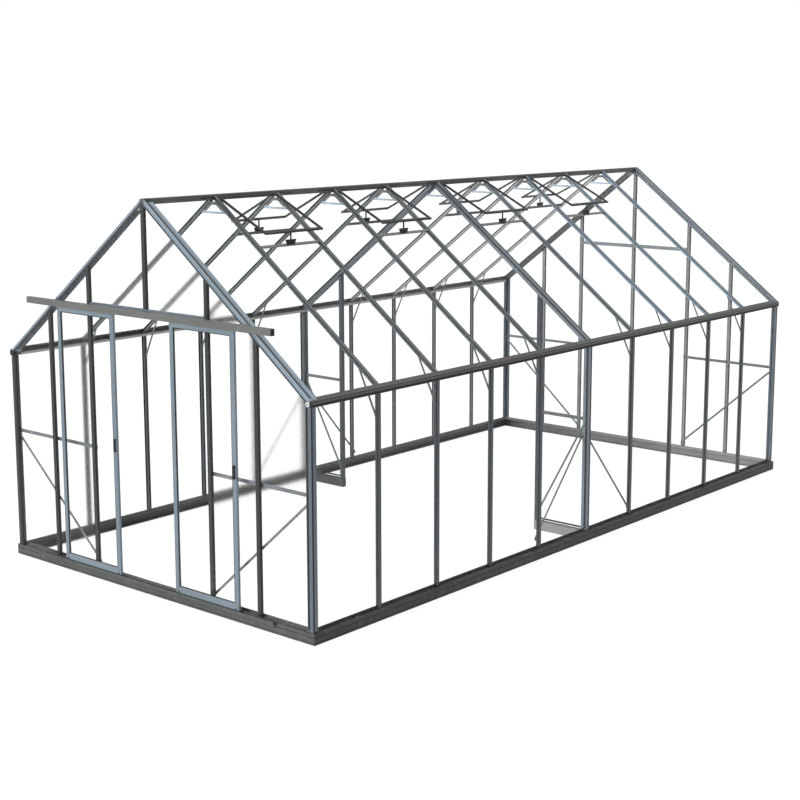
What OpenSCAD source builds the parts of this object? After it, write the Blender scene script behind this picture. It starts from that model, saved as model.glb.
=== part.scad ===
// Walk-in greenhouse: aluminium frame, polycarbonate panes, two sliding doors, eight roof vents.
// X runs across the gable, Y from the door gable to the rear gable, and Z up. The origin is on the
// ground at the centre of the footprint. Distances "from the front" start at the front base face.

/* [House] */
// Width over the base rails
house_w = 3196; // [2900:2:3500]
// Front base face to the first glazing bar
front_bay = 672; // [600:1:720]
// Spacing of the glazing bars
bay = 620; // [580:5:680]
// Spacing on each side of the middle post
mid_bay = 643; // [600:1:720]
// Last glazing bar to the rear base face
rear_bay = 637; // [600:1:720]
// Underside of the eave beams above the ground
eave_h = 1566; // [1500:2:1700]
// Roof pitch in degrees
pitch = 37.56; // [35:0.01:40]

/* [Base] */
// Height of the base rails' ledge
base_h = 76; // [64:1:90]
// Sheet thickness of the base rails
base_t = 4; // [2:0.5:5]
// Width of the base rails' ledge
ledge_w = 60; // [57:1:66]
// Height of the upstand along the ledge
upstand = 20; // [10:1:30]
// Width of the rib grooves along the base
rib_w = 5; // [3:1:8]
// Depth of the rib grooves
rib_d = 1.5; // [1:0.5:2]
// Height of the lower rib groove
rib_low = 12; // [8:1:20]
// Height of the upper rib groove
rib_high = 50; // [40:1:54]
// Set-back of the corner posts from the side base face
corner_set = 18; // [14:1:22]
// Set-back of the long walls' bars from the side base face
wall_set = 28; // [24:1:32]
// Set-back of the gable frame from the gable base face
gable_in = 7; // [3:1:12]

/* [Glazing bars] */
// Depth of a bar, outside to inside
bar_d = 26; // [24:1:30]
// Thickness of the outer cap
cap_t = 4; // [3:0.5:6]
// Width of a bar's outer cap
cap_w = 34; // [30:1:40]
// Width of the neck between two panes
neck_w = 12; // [8:1:16]
// Width of a bar's inner body
body_w = 26; // [20:1:32]
// Depth of a middle bar, outside to inside
mid_d = 36; // [32:1:38]
// Width of the middle bar's cap
mid_cap_w = 68; // [60:1:80]
// Width of the middle bar's neck
mid_neck_w = 42; // [30:1:50]
// Width of the middle bar's body
mid_body_w = 58; // [52:1:60]
// Width of the groove along a bar's inner face
groove_w = 8; // [4:1:10]
// Depth of that groove
groove_d = 4; // [2:0.5:6]

/* [Panes] */
// Thickness of a pane
pane_t = 6; // [4:0.5:8]
// Gap between a pane's edge and the neck beside it
pane_gap = 1; // [0.5:0.5:3]

/* [Corner posts] */
// Width of a corner post's face
post_w = 48; // [44:1:54]
// How far a pane reaches into a corner post or gable rafter
pane_slot = 8; // [5:1:12]
// Width of the groove down each face of a corner post
post_groove = 13; // [8:1:16]
// Depth of that groove
post_groove_d = 3; // [2:0.5:4]

/* [Roof] */
// Set-back of the eave beams from the side base face
eave_set = 8; // [4:1:14]
// Width of an eave beam
eave_w = 48; // [42:1:50]
// Width of an eave beam's raised outer edge
eave_edge = 26; // [20:1:28]
// Gable rafters' lower edge above the eave beam's underside, at the beam's inner face
eave_seat = 27.6; // [26:0.2:34]
// End of an eave beam from the gable base face
eave_end = 4; // [0:1:60]
// Outer faces of the roof's glazing bars below the upper faces of the gable rafters
roof_drop = 9; // [6:1:12]
// Width of the ridge beam
ridge_w = 40; // [34:1:46]
// Height of the ridge beam below the rafters' upper faces
ridge_h = 38; // [34:1:60]
// Rise of the ridge beam's crown
ridge_crown = 5; // [2:1:8]
// Width of a gable rafter along the ridge
verge_w = 60; // [58:1:70]
// Depth of a gable rafter, square to the roof
verge_d = 40; // [36:1:44]

/* [Gables] */
// Outer gable stud from the middle of the house
stud_out = 1086; // [1040:2:1150]
// Doorway stud from the middle of the house
stud_in = 622; // [612:2:640]
// Underside of the door head above the ground
head_z = 2012; // [1990:1:2060]
// Height of the door head
head_h = 44; // [40:1:60]
// Underside of the rear gable rail above the ground
rear_rail_z = 2022; // [1900:1:2060]
// Height of the rear gable rail
rear_rail_h = 32; // [20:1:50]

/* [Braces] */
// Height of a horizontal brace
brace_w = 26; // [16:1:36]
// Height of a diagonal brace's upright end
diag_w = 24; // [14:1:30]
// Thickness of a flat brace
brace_t = 5; // [3:0.5:8]
// Underside of the horizontal braces above the ground
brace_z = 972; // [800:1:1100]
// Gap between a horizontal brace and the diagonal under it
diag_drop = 8; // [4:1:60]
// Foot of a gable diagonal above the base's upstand
diag_foot = 16; // [2:1:60]
// Foot of a partition diagonal above the base
part_foot = 80; // [2:1:120]
// Foot of a wall diagonal above the base's upstand
wall_foot = 32; // [2:1:60]
// Upper end of the long-wall diagonals above the ground
wall_diag_z = 858; // [700:2:940]
// Distance of a long-wall diagonal's end from the post's centre
wall_diag_in = 12; // [8:1:20]
// Thickness of knee braces, ridge ties and partition braces
web_t = 12; // [11:1:16]
// Foot of a knee brace below the eave beam
knee_drop = 180; // [100:5:300]
// Head of a knee brace, in from the wall's inner face
knee_run = 160; // [100:5:250]
// Height of a knee brace's upright end
knee_w = 22; // [12:1:30]
// Foot of a ridge tie below the ridge beam
tie_drop = 97; // [84:1:120]
// Gap between the ridge beam and a ridge tie
tie_gap = 14; // [4:1:20]
// Height of a ridge tie's upper bar
tie_head = 21; // [14:1:26]
// Height of a ridge tie's bars
tie_w = 14; // [8:1:20]
// Width of a ridge tie's side plates, measured level
tie_side = 30; // [16:1:40]

/* [Partition] */
// Width of the partition's base stub
stub_w = 44; // [36:1:54]
// Width of the partition's post
part_w = 34; // [24:1:36]

/* [Roof vents] */
// How far each vent stands open, in degrees
vent_open = 11.1; // [4:0.1:20]
// Length of a vent down the slope
vent_l = 535; // [480:5:560]
// Gap between a vent and the cap of the bar beside it
vent_side = 2; // [1:0.5:8]
// Width of a vent's side and upper bars
vent_bar_w = 16; // [14:1:30]
// Width of a vent's lower bar
vent_rail_w = 22; // [18:1:40]
// Thickness of a vent frame
vent_t = 14; // [12:1:20]
// Outer face to pane in a vent or door frame
vent_rebate = 4; // [2:0.5:5]
// Ridge-side edge of a vent from the side of the ridge beam
vent_hinge = 2; // [1:0.5:8]
// Underside of a vent below the gable rafters' upper face at its hinge line, measured upright
vent_sink = 24; // [16:1:28]
// Middle of a sill beyond the closed vent's lower edge, measured level
sill_gap = 15; // [12:1:30]
// Width of a sill down the slope
sill_w = 14; // [10:1:20]
// Depth of a sill
sill_d = 18; // [16:1:24]
// Length of a vent stay's bracket along its top
bracket_l = 106; // [70:1:120]
// Length of that bracket along the sill
bracket_foot = 70; // [50:1:90]
// Height of that bracket
bracket_h = 36; // [16:1:40]
// Width of a vent stay
stay_w = 9; // [6:1:12]
// Thickness of a stay's tab under the vent's lower bar
stay_tab = 4; // [3:0.5:6]
// Left-hand stays forward of the middle of their bay
left_stay = 40; // [0:5:60]

/* [Doors] */
// Width of one door
door_w = 636; // [620:1:650]
// Underside of a door above the base's ledge
door_gap = 26; // [20:1:34]
// Thickness of a door
door_t = 18; // [14:1:18]
// Width of a door's uprights
stile_w = 37; // [28:1:50]
// Height of a door's lower rail
rail_w = 44; // [30:1:60]
// Height of a door's upper rail
head_rail = 38; // [30:1:50]
// How far each door stands open at rest
door_open = 295; // [100:5:295]
// Half of the gap between the closed doors
door_meet = 3; // [3:0.5:8]
// Middle of a door handle above the ground
handle_z = 1054; // [900:2:1200]
// Length of a door handle
handle_l = 92; // [60:2:160]
// Width of a door handle
handle_w = 12; // [8:1:20]
// How far a door handle stands out
handle_out = 12; // [8:1:40]
// Hanger's centre from the door's upright edge
hanger_in = 70; // [50:1:120]
// Radius of a hanger wheel
wheel_r = 8.5; // [6:0.5:9]
// Thickness of a hanger plate
hanger_t = 4; // [3:0.5:4]

/* [Door track] */
// Half of the length of the door track, without its caps
track_half = 1284; // [1250:1:1400]
// Depth of the track
track_d = 33; // [33:1:38]
// Height of the track
track_h = 46; // [46:1:50]
// Thickness of the track's walls
track_t = 2; // [2:0.5:2.5]
// Underside of the track below the underside of the door head
track_drop = 12; // [4:1:20]
// Height of the track's front wall below its inner flanges
track_skirt = 11; // [11:1:13]
// How far a door's top stands behind the track's front wall
door_lap = 6; // [2:1:6]
// Width of the slot between the track's flanges
track_slot = 15; // [15:1:18]
// Thickness of a track end cap
track_cap = 3; // [2:1:20]
// Gap between the track and the gable frame, filled by the track's brackets
track_gap = 18; // [18:1:24]
// Width of a track bracket
track_bracket_w = 24; // [16:1:34]
// Track brackets on the gable rafters, from the middle of the house
rafter_bracket = 990; // [985:1:1000]
// Half of the length of the lower door guide
guide_half = 1250; // [1245:1:1300]
// Depth of the lower door guide
guide_d = 28; // [24:1:36]
// Height of the lower door guide
guide_h = 24; // [20:1:30]
// Top of the guide above the base's ledge
guide_rise = 12; // [6:1:14]
// Thickness of the guide's walls
guide_t = 3; // [2:0.5:4]

/* [Hidden] */
$fn = 32;
// How far a cutting shape runs past the face it cuts.
cut = 1;
house_l = front_bay + 6 * bay + 2 * mid_bay + rear_bay;
half_w = house_w / 2;
corner_out = half_w - corner_set;
wall_out = half_w - wall_set;
wall_in = wall_out - bar_d;
mid_in = wall_out - mid_d;
stud_back = gable_in + bar_d;
beam_out = half_w - eave_set;
beam_in = beam_out - eave_w;
// Inner side of an eave beam's raised edge, where the roof's bars and panes end.
crest = beam_out - eave_edge;
// A corner post's legs are as thick as a bar, and the base's upstand runs behind them.
upstand_in = corner_set + bar_d;
// A pane lies between these depths inside a bar's outer face.
pane_a = cap_t;
pane_b = cap_t + pane_t;
ridge_half = ridge_w / 2;
ridge_bottom = roof_top(ridge_half) - ridge_h;
track_z = head_z - track_drop;
track_back = gable_in - track_gap;
flange_z = track_z + track_skirt;
door_z = base_h + door_gap;
door_h = track_z + door_lap - door_z;
door_front = track_back - (track_d + door_t) / 2;
// The door handles stand out furthest, so the footprint runs from there to the rear base face.
reach = handle_out - door_front;
y0 = (reach - house_l) / 2;
bar_at = [for (i = [0 : 8]) front_bay + i * bay + ((i > 3 ? 1 : 0) + (i > 4 ? 1 : 0)) * (mid_bay - bay)];
mid_at = bar_at[4];
plain = [0, 1, 2, 3, 5, 6, 7, 8];
// Vents fill these bays, counted from the bar at the bay's front.
right_vents = [0, 2, 4, 6];
left_vents = [1, 3, 5, 7];
hinge_x = ridge_half + vent_hinge;
hinge_z = roof_top(hinge_x) - vent_sink;
sill_x = hinge_x + vent_l * cos(pitch) + sill_gap;
foot_z = base_h + upstand + diag_foot;

// Height of a gable rafter's lower and upper faces at a distance from the middle of the house.
function roof_under(x) = eave_h + eave_seat + (beam_in - x) * tan(pitch);
function roof_top(x) = roof_under(x) + verge_d / cos(pitch);
// Height of the outer face of the roof's bars, and of a point at a depth inside it.
function bar_top(x, depth = 0) = roof_top(x) - (roof_drop + depth) / cos(pitch);
// Height of an open vent's underside.
function vent_under(x) = hinge_z - (x - hinge_x) * tan(pitch - vent_open);
// Cross-section of a glazing bar: x is outwards from its outer face, y is across it.
function bar_pts(cap = cap_w, neck = neck_w, body = body_w, d = bar_d) = [
    [0, -cap / 2], [0, cap / 2], [-pane_a, cap / 2], [-pane_a, neck / 2], [-pane_b, neck / 2],
    [-pane_b, body / 2], [-d, body / 2], [-d, groove_w / 2],
    [groove_d - d, groove_w / 2], [groove_d - d, -groove_w / 2],
    [-d, -groove_w / 2], [-d, -body / 2], [-pane_b, -body / 2], [-pane_b, -neck / 2],
    [-pane_a, -neck / 2], [-pane_a, -cap / 2]];
mid_pts = bar_pts(mid_cap_w, mid_neck_w, mid_body_w, mid_d);
// Half of the cap of bar i, and half of the neck that a pane meets there.
function cap_half(i) = (i == 4 ? mid_cap_w : cap_w) / 2;
function half_neck(i) = (i == 4 ? mid_neck_w : neck_w) / 2 + pane_gap;

// ---------- helpers: everything below is drawn with Y as a distance from the front ----------

// A profile drawn in X and Z, run along Y.
module along_y(from, to) {
    translate([0, to, 0])
        rotate([90, 0, 0])
            linear_extrude(to - from)
                children();
}

// A profile drawn in Y and Z, run along X.
module along_x(from, to) {
    translate([from, 0, 0])
        rotate([90, 0, 90])
            linear_extrude(to - from)
                children();
}

// A box between two corners.
module block(a, b) {
    translate(a)
        cube(b - a);
}

module both_sides() {
    children();
    mirror([1, 0, 0])
        children();
}

// Turns a front gable shape round onto the rear gable.
module on_rear() {
    translate([0, house_l, 0])
        mirror([0, 1, 0])
            children();
}

// Moves the finished shape to the origin at the centre of the footprint.
module placed() {
    translate([0, y0, 0])
        children();
}

// Everything under the gable rafters or a height above them, to cut uprights and gable panes.
module below_roof(from, to, rise = 0) {
    intersection() {
        children();
        along_y(from, to)
            polygon([[-corner_out, 0], [corner_out, 0], [corner_out, roof_under(corner_out) + rise],
                [0, roof_under(0) + rise], [-corner_out, roof_under(corner_out) + rise]]);
    }
}

// A shape in the right-hand slope, cut upright at two distances from the middle. Its own axes:
// x outwards from the gable rafters' upper face, y along the house, z up the slope from the eave.
module in_slope(from, to) {
    intersection() {
        translate([beam_in, 0, roof_top(beam_in)])
            rotate([0, pitch - 90, 0])
                children();
        block([from, 0, eave_h - verge_d], [to, house_l, roof_top(0)]);
    }
}

// A bar down the right-hand slope, with its outer face at a depth below the rafters' upper face.
module slope_bar(d, pts, depth, to) {
    in_slope(ridge_half, to)
        translate([-depth, d, -2 * verge_d])
            linear_extrude(beam_in / cos(pitch) + 3 * verge_d)
                polygon(pts);
}

// An upright bar in the right-hand long wall, slotted over the base's upstand.
module wall_bar(d, pts) {
    difference() {
        translate([wall_out, d, base_h])
            linear_extrude(eave_h - base_h)
                polygon(pts);
        block([half_w - upstand_in - base_t, d - mid_cap_w, 0],
            [half_w - upstand_in, d + mid_cap_w, base_h + upstand]);
    }
}

// An upright bar in the front gable, from a height up to the rafters.
module gable_bar(x, from) {
    below_roof(gable_in, stud_back)
        translate([x, gable_in, from])
            rotate([0, 0, -90])
                linear_extrude(roof_top(0) - from)
                    polygon(bar_pts());
}

// A flat strip between two points of a plane, with upright ends.
module strip(a, b, w) {
    polygon([a, b, b + [0, w], a + [0, w]]);
}

// ---------- base ----------

// Section of a base rail: x runs inwards from the outer face.
module base_section() {
    difference() {
        polygon([[0, 0], [ledge_w, 0], [ledge_w, base_t], [base_t, base_t],
            [base_t, base_h - base_t], [ledge_w, base_h - base_t], [ledge_w, base_h],
            [upstand_in + base_t, base_h], [upstand_in + base_t, base_h + upstand],
            [upstand_in, base_h + upstand], [upstand_in, base_h], [0, base_h]]);
        for (z = [rib_low, rib_high])
            translate([0, z])
                square([rib_d, rib_w]);
    }
}

// Plan of a rail of length l, with mitred ends.
module mitred(l) {
    linear_extrude(base_h + upstand)
        polygon([[0, 0], [l, 0], [l - ledge_w, ledge_w], [ledge_w, ledge_w]]);
}

module gable_base() {
    color("dimgray")
        intersection() {
            along_x(-half_w, half_w)
                base_section();
            translate([-half_w, 0, 0])
                mitred(house_w);
        }
}

module side_base() {
    color([0.25, 0.25, 0.25])
        intersection() {
            translate([half_w, 0, 0])
                mirror([1, 0, 0])
                    along_y(0, house_l)
                        base_section();
            translate([half_w, 0, 0])
                rotate([0, 0, 90])
                    mitred(house_l);
        }
}

// The front rail has no upstand across the doorway.
module base_front() {
    edge = stud_in - cap_w / 2;
    placed()
        difference() {
            gable_base();
            block([-edge, 0, base_h], [edge, ledge_w, base_h + upstand + cut]);
        }
}

module base_rear() { placed() on_rear() gable_base(); }
module base_left() { placed() mirror([1, 0, 0]) side_base(); }
module base_right() { placed() side_base(); }

// Open channel on the front base, under the doors' lower edges.
module door_guide() {
    color("dimgray")
        placed()
            along_x(-guide_half, guide_half)
                translate([-guide_d, base_h + guide_rise - guide_h])
                    difference() {
                        square([guide_d, guide_h]);
                        translate([guide_t, guide_t])
                            square([guide_d - 2 * guide_t, guide_h]);
                    }
}

// ---------- uprights ----------

// Plan of the front right corner post, from its outer corner at the origin inwards: x along the
// gable and y along the long wall. The wall's panes lie deeper than the gable's.
module post_plan() {
    difference() {
        square(post_w);
        translate([bar_d, bar_d])
            square(post_w);
        translate([post_w - pane_slot, pane_a])
            square([post_w, pane_t]);
        translate([wall_set - corner_set + pane_a, post_w - pane_slot])
            square([pane_t, post_w]);
        translate([post_w - pane_slot - post_groove, 0])
            square([post_groove, post_groove_d]);
        translate([0, post_groove_d])
            square([post_groove_d, post_groove]);
    }
}

module corner_post() {
    below_roof(gable_in, gable_in + post_w)
        translate([corner_out, gable_in, base_h])
            mirror([1, 0, 0])
                linear_extrude(roof_under(0))
                    post_plan();
}

module corner_posts() {
    color("slategray")
        placed()
            both_sides() {
                corner_post();
                on_rear()
                    corner_post();
            }
}

module wall_bars() {
    color("dimgray")
        placed()
            for (i = plain)
                wall_bar(bar_at[i], bar_pts());
}

module right_wall_bars() { wall_bars(); }
module left_wall_bars() { mirror([1, 0, 0]) wall_bars(); }

module mid_posts() {
    color("dimgray")
        placed()
            both_sides()
                wall_bar(mid_at, mid_pts);
}

// ---------- eaves and ridge ----------

// The beam's raised edge runs past the gable rafters' feet; the rest stops behind them.
module eave_solid() {
    verge_back = gable_in + verge_w;
    difference() {
        along_y(eave_end, house_l - eave_end)
            polygon([[beam_in, eave_h], [beam_out, eave_h], [beam_out, roof_top(beam_out)],
                [crest, roof_top(crest)], [crest, bar_top(crest, bar_d)],
                [beam_in, bar_top(beam_in, bar_d)]]);
        for (y = [0, house_l - verge_back])
            block([0, y, 0], [corner_out, y + verge_back, roof_top(0)]);
    }
}

module eave_beam() {
    color([0.22, 0.22, 0.22])
        placed()
            eave_solid();
}

module right_eave_beam() { eave_beam(); }
module left_eave_beam() { mirror([1, 0, 0]) eave_beam(); }

module ridge_beam() {
    top = roof_top(ridge_half);
    color([0.22, 0.22, 0.22])
        placed()
            along_y(gable_in, house_l - gable_in)
                polygon([[-ridge_half, ridge_bottom], [ridge_half, ridge_bottom],
                    [ridge_half, top], [0, top + ridge_crown], [-ridge_half, top]]);
}

// ---------- rafters ----------

module roof_bars() {
    color("slategray")
        placed()
            for (i = plain)
                slope_bar(bar_at[i], bar_pts(), roof_drop, crest);
}

module right_roof_bars() { roof_bars(); }
module left_roof_bars() { mirror([1, 0, 0]) roof_bars(); }

// The deeper middle rafters are cut round the eave beams.
module mid_rafters() {
    color("slategray")
        placed()
            both_sides()
                difference() {
                    slope_bar(mid_at, mid_pts, roof_drop, crest);
                    eave_solid();
                }
}

// Section of a gable rafter: x outwards from the roof face, y inwards from the gable face.
function verge_pts() = let (g = rib_w, d = 2 * rib_d, a = verge_d / 3, b = 2 * verge_d / 3,
    p = roof_drop + pane_a, q = roof_drop + pane_b) [
    [0, 0], [0, verge_w / 2 - g], [-d, verge_w / 2 - g], [-d, verge_w / 2], [0, verge_w / 2],
    [0, verge_w], [-p, verge_w], [-p, verge_w - pane_slot],
    [-q, verge_w - pane_slot], [-q, verge_w], [-verge_d, verge_w], [-verge_d, 0],
    [-b - g / 2, 0], [-b - g / 2, d], [-b + g / 2, d], [-b + g / 2, 0],
    [-a - g / 2, 0], [-a - g / 2, d], [-a + g / 2, d], [-a + g / 2, 0]];

module verges() {
    color("lightslategray")
        both_sides()
            slope_bar(gable_in, verge_pts(), 0, corner_out);
}

module front_gable_rafters() { placed() verges(); }
module rear_gable_rafters() { placed() on_rear() verges(); }

// ---------- gables ----------

module side_studs() {
    both_sides() {
        gable_bar(stud_out, base_h);
        gable_bar(stud_in, base_h);
    }
}

// The middle stud, from a height up to the ridge beam.
module middle_stud(from) {
    translate([0, gable_in, from])
        rotate([0, 0, -90])
            linear_extrude(ridge_bottom - from)
                polygon(bar_pts());
}

module front_gable_studs() {
    color("dimgray")
        placed() {
            side_studs();
            middle_stud(head_z + head_h);
        }
}

module rear_gable_studs() {
    color("gray")
        placed()
            on_rear() {
                side_studs();
                middle_stud(base_h);
            }
}

module door_head() {
    edge = stud_in - cap_w / 2;
    color("lightsteelblue")
        placed()
            block([-edge, gable_in, head_z], [edge, stud_back, head_z + head_h]);
}

module rear_gable_rail() {
    color("gray")
        placed()
            on_rear()
                both_sides()
                    block([cap_w / 2, gable_in, rear_rail_z],
                        [stud_in - cap_w / 2, stud_back, rear_rail_z + rear_rail_h]);
}

// ---------- braces ----------

// A level brace and a diagonal on the inner faces of the gable studs.
module gable_braces() {
    from = stud_in - body_w / 2;
    to = corner_out - bar_d;
    color("gray")
        both_sides()
            along_y(stud_back, stud_back + brace_t) {
                strip([from, brace_z], [to, brace_z], brace_w);
                strip([from, foot_z], [to, brace_z - diag_drop - diag_w], diag_w);
            }
}

module front_gable_braces() { placed() gable_braces(); }
module rear_gable_braces() { placed() on_rear() gable_braces(); }

// Diagonals on the middle posts' inner faces, down to spacers on the bars beside them.
module wall_braces() {
    foot = base_h + upstand + wall_foot;
    color("gray")
        placed()
            both_sides() {
                along_x(mid_in - brace_t, mid_in) {
                    strip([bar_at[3] - body_w / 2, foot], [mid_at - wall_diag_in, wall_diag_z], diag_w);
                    strip([mid_at + wall_diag_in, wall_diag_z], [bar_at[5] + body_w / 2, foot], diag_w);
                }
                for (i = [3, 5])
                    block([mid_in, bar_at[i] - groove_w, foot],
                        [wall_in, bar_at[i] + groove_w, foot + diag_w]);
            }
}

// Struts from each bar's inner face to the underside of its rafter.
module knee_braces() {
    foot = eave_h - knee_drop;
    head = wall_in - knee_run;
    color("gray")
        placed()
            both_sides()
                for (i = plain)
                    along_y(bar_at[i] - web_t / 2, bar_at[i] + web_t / 2)
                        polygon([[wall_in, foot], [wall_in, foot + knee_w],
                            [head + knee_w / 2, bar_top(head + knee_w / 2, bar_d)],
                            [head, bar_top(head, bar_d)]]);
}

// Distance from the middle at which a bar of depth d comes down to a height.
function tie_reach(z, d) = beam_in - (z - bar_top(beam_in, d)) / tan(pitch);

// Plate frame under the ridge, between a pair of rafters of depth d.
module ridge_tie(d) {
    top = ridge_bottom - tie_gap;
    low = ridge_bottom - tie_drop;
    sill = low + tie_w;
    lintel = top - tie_head;
    a = tie_reach(sill, d);
    b = tie_reach(lintel, d);
    c = tie_reach(top, d);
    // Rafters whose undersides meet the ridge below the tie's top stand beside the tie.
    side = c > ridge_half ? [[c, top]] : [[ridge_half, bar_top(ridge_half, d)], [ridge_half, top]];
    half = concat([[a - tie_w / 2, low], [a, sill]], side);
    difference() {
        polygon(concat(half, [for (k = [len(half) - 1 : -1 : 0]) [-half[k].x, half[k].y]]));
        polygon([[-a + tie_side, sill], [a - tie_side, sill],
            [b - tie_side, lintel], [-b + tie_side, lintel]]);
    }
}

module ridge_ties() {
    color("lightsteelblue")
        placed()
            for (i = [0 : 8])
                along_y(bar_at[i] - web_t / 2, bar_at[i] + web_t / 2)
                    ridge_tie(i == 4 ? mid_d : bar_d);
}

// ---------- partition wings at the middle posts ----------

part_out = stud_out + part_w / 2;
part_in = stud_out - part_w / 2;

module partition_bases() {
    color("dimgray")
        placed()
            both_sides()
                block([part_in, mid_at - stub_w / 2, 0],
                    [half_w - ledge_w, mid_at + stub_w / 2, base_h]);
}

module partition_posts() {
    rise = (verge_d - roof_drop - mid_d) / cos(pitch);
    color("dimgray")
        placed()
            both_sides()
                below_roof(mid_at - part_w / 2, mid_at + part_w / 2, rise)
                    block([part_in, mid_at - part_w / 2, base_h],
                        [part_out, mid_at + part_w / 2, roof_top(0)]);
}

module partition_braces() {
    foot = base_h + part_foot;
    color("gray")
        placed()
            both_sides()
                along_y(mid_at - web_t / 2, mid_at + web_t / 2) {
                    strip([part_out, brace_z], [mid_in, brace_z], brace_w);
                    strip([part_out, foot], [mid_in, brace_z - diag_drop - diag_w], diag_w);
                }
}

// ---------- roof vents ----------

// A shape in an open right-hand vent: x down the vent, y along the house, z out of it.
module in_vent() {
    translate([hinge_x, 0, hinge_z])
        rotate([0, pitch - vent_open, 0])
            children();
}

// Both sides of the vent in bay i.
function vent_start(i) = bar_at[i] + cap_half(i) + vent_side;
function vent_end(i) = bar_at[i + 1] - cap_half(i + 1) - vent_side;

module vent_frame(i) {
    a = vent_start(i);
    b = vent_end(i);
    in_vent()
        difference() {
            block([0, a, 0], [vent_l, b, vent_t]);
            block([vent_bar_w, a + vent_bar_w, -cut],
                [vent_l - vent_rail_w, b - vent_bar_w, vent_t + cut]);
        }
}

module right_vent_frames() {
    color([0.15, 0.15, 0.15])
        placed()
            for (i = right_vents)
                vent_frame(i);
}

module left_vent_frames() {
    color([0.15, 0.15, 0.15])
        placed()
            mirror([1, 0, 0])
                for (i = left_vents)
                    vent_frame(i);
}

module vent_pane(i) {
    top = vent_t - vent_rebate;
    in_vent()
        block([vent_bar_w, vent_start(i) + vent_bar_w, top - pane_t],
            [vent_l - vent_rail_w, vent_end(i) - vent_bar_w, top]);
}

module vent_sill(i) {
    up = (beam_in - sill_x) / cos(pitch);
    in_slope(0, crest)
        block([-roof_drop - sill_d, bar_at[i] + cap_half(i), up - sill_w / 2],
            [-roof_drop, bar_at[i + 1] - cap_half(i + 1), up + sill_w / 2]);
}

// A bracket on the sill with a strap up to the vent's lower bar, short of the bay's middle.
module vent_stay(i, short = 0) {
    m = (bar_at[i] + bar_at[i + 1]) / 2 - short;
    top_x = hinge_x + (vent_l - stay_w / 2) * cos(pitch - vent_open);
    half = stay_w / 2;
    up = sill_x - half;
    down = sill_x + half;
    high = bar_top(sill_x) + bracket_h;
    intersection() {
        along_y(m - bracket_l / 2, m + bracket_l / 2)
            polygon([[up, bar_top(up)], [down, bar_top(down)], [down, high], [up, high]]);
        along_x(up, down)
            polygon([[m - bracket_foot / 2, bar_top(down)], [m + bracket_foot / 2, bar_top(down)],
                [m + bracket_l / 2, high], [m - bracket_l / 2, high]]);
    }
    along_y(m - half, m + half)
        polygon([[up, high], [down, high], [down, vent_under(down) - stay_tab],
            [top_x, vent_under(top_x) - stay_tab], [top_x, vent_under(top_x)],
            [up, vent_under(up)]]);
}

module vent_sills() {
    color("gray")
        placed() {
            for (i = right_vents)
                vent_sill(i);
            mirror([1, 0, 0])
                for (i = left_vents)
                    vent_sill(i);
        }
}

module vent_stays() {
    color([0.1, 0.1, 0.1])
        placed() {
            for (i = right_vents)
                vent_stay(i);
            mirror([1, 0, 0])
                for (i = left_vents)
                    vent_stay(i, left_stay);
        }
}

module vent_panes() {
    color([0.85, 0.93, 0.97, 0.3])
        placed() {
            for (i = right_vents)
                vent_pane(i);
            mirror([1, 0, 0])
                for (i = left_vents)
                    vent_pane(i);
        }
}

// ---------- door track ----------

// Section of the track in Y and Z: a slotted channel with a skirt down its front.
module track_section() {
    inner = track_d - 2 * track_t;
    difference() {
        square([track_d, track_h]);
        translate([track_t, -cut])
            square([track_d, track_skirt + cut]);
        translate([track_t, track_skirt + track_t])
            square([inner, track_h - track_skirt - 2 * track_t]);
        translate([(track_d - track_slot) / 2, 0])
            square([track_slot, track_skirt + track_t]);
    }
}

module door_track() {
    color([0.53, 0.52, 0.49])
        placed() {
            along_x(-track_half, track_half)
                translate([track_back - track_d, track_z])
                    track_section();
            both_sides()
                for (x = [stud_in, rafter_bracket])
                    block([x - track_bracket_w / 2, track_back, flange_z],
                        [x + track_bracket_w / 2, gable_in, track_z + track_h]);
        }
}

module track_end_caps() {
    color("black")
        placed()
            both_sides()
                block([track_half, track_back - track_d, track_z],
                    [track_half + track_cap, track_back, track_z + track_h]);
}

// ---------- doors ----------

// A wheel on a plate, with its wheel in the middle of the track's channel.
module hanger() {
    axle_z = (flange_z + track_z + track_h) / 2 - door_z;
    translate([0, door_t / 2, 0]) {
        block([-wheel_r, -hanger_t / 2, door_h], [wheel_r, hanger_t / 2, axle_z]);
        translate([0, hanger_t, axle_z])
            rotate([90, 0, 0])
                cylinder(h = 2 * hanger_t, r = wheel_r);
    }
}

module door_frame() {
    depth = (door_t - pane_t) / 2;
    difference() {
        block([0, 0, 0], [door_w, door_t, door_h]);
        block([stile_w, -cut, rail_w], [door_w - stile_w, door_t + cut, door_h - head_rail]);
        block([stile_w - pane_slot, depth, rail_w - pane_slot],
            [door_w - stile_w + pane_slot, depth + pane_t, door_h - head_rail + pane_slot]);
    }
    for (x = [hanger_in, door_w - hanger_in])
        translate([x, 0, 0])
            hanger();
}

module door_pane() {
    a = stile_w - pane_slot;
    depth = (door_t - pane_t) / 2;
    block([a, depth, rail_w - pane_slot],
        [door_w - a, depth + pane_t, door_h - head_rail + pane_slot]);
}

// A bow handle on the front of the right-hand upright.
module door_handle() {
    foot = handle_w;
    x = door_w - stile_w / 2;
    color([0.1, 0.1, 0.1])
        translate([x - handle_w / 2, -handle_out, handle_z - door_z - handle_l / 2])
            difference() {
                cube([handle_w, handle_out, handle_l]);
                block([-cut, handle_out / 2, foot],
                    [handle_w + cut, handle_out + cut, handle_l - foot]);
            }
}

// Places a door by its lower left front corner: the right door, or the left one.
module right_place() {
    placed()
        translate([door_meet + door_open, door_front, door_z])
            children();
}

module left_place() {
    placed()
        translate([-door_meet - door_open - door_w, door_front, door_z])
            children();
}

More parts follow.
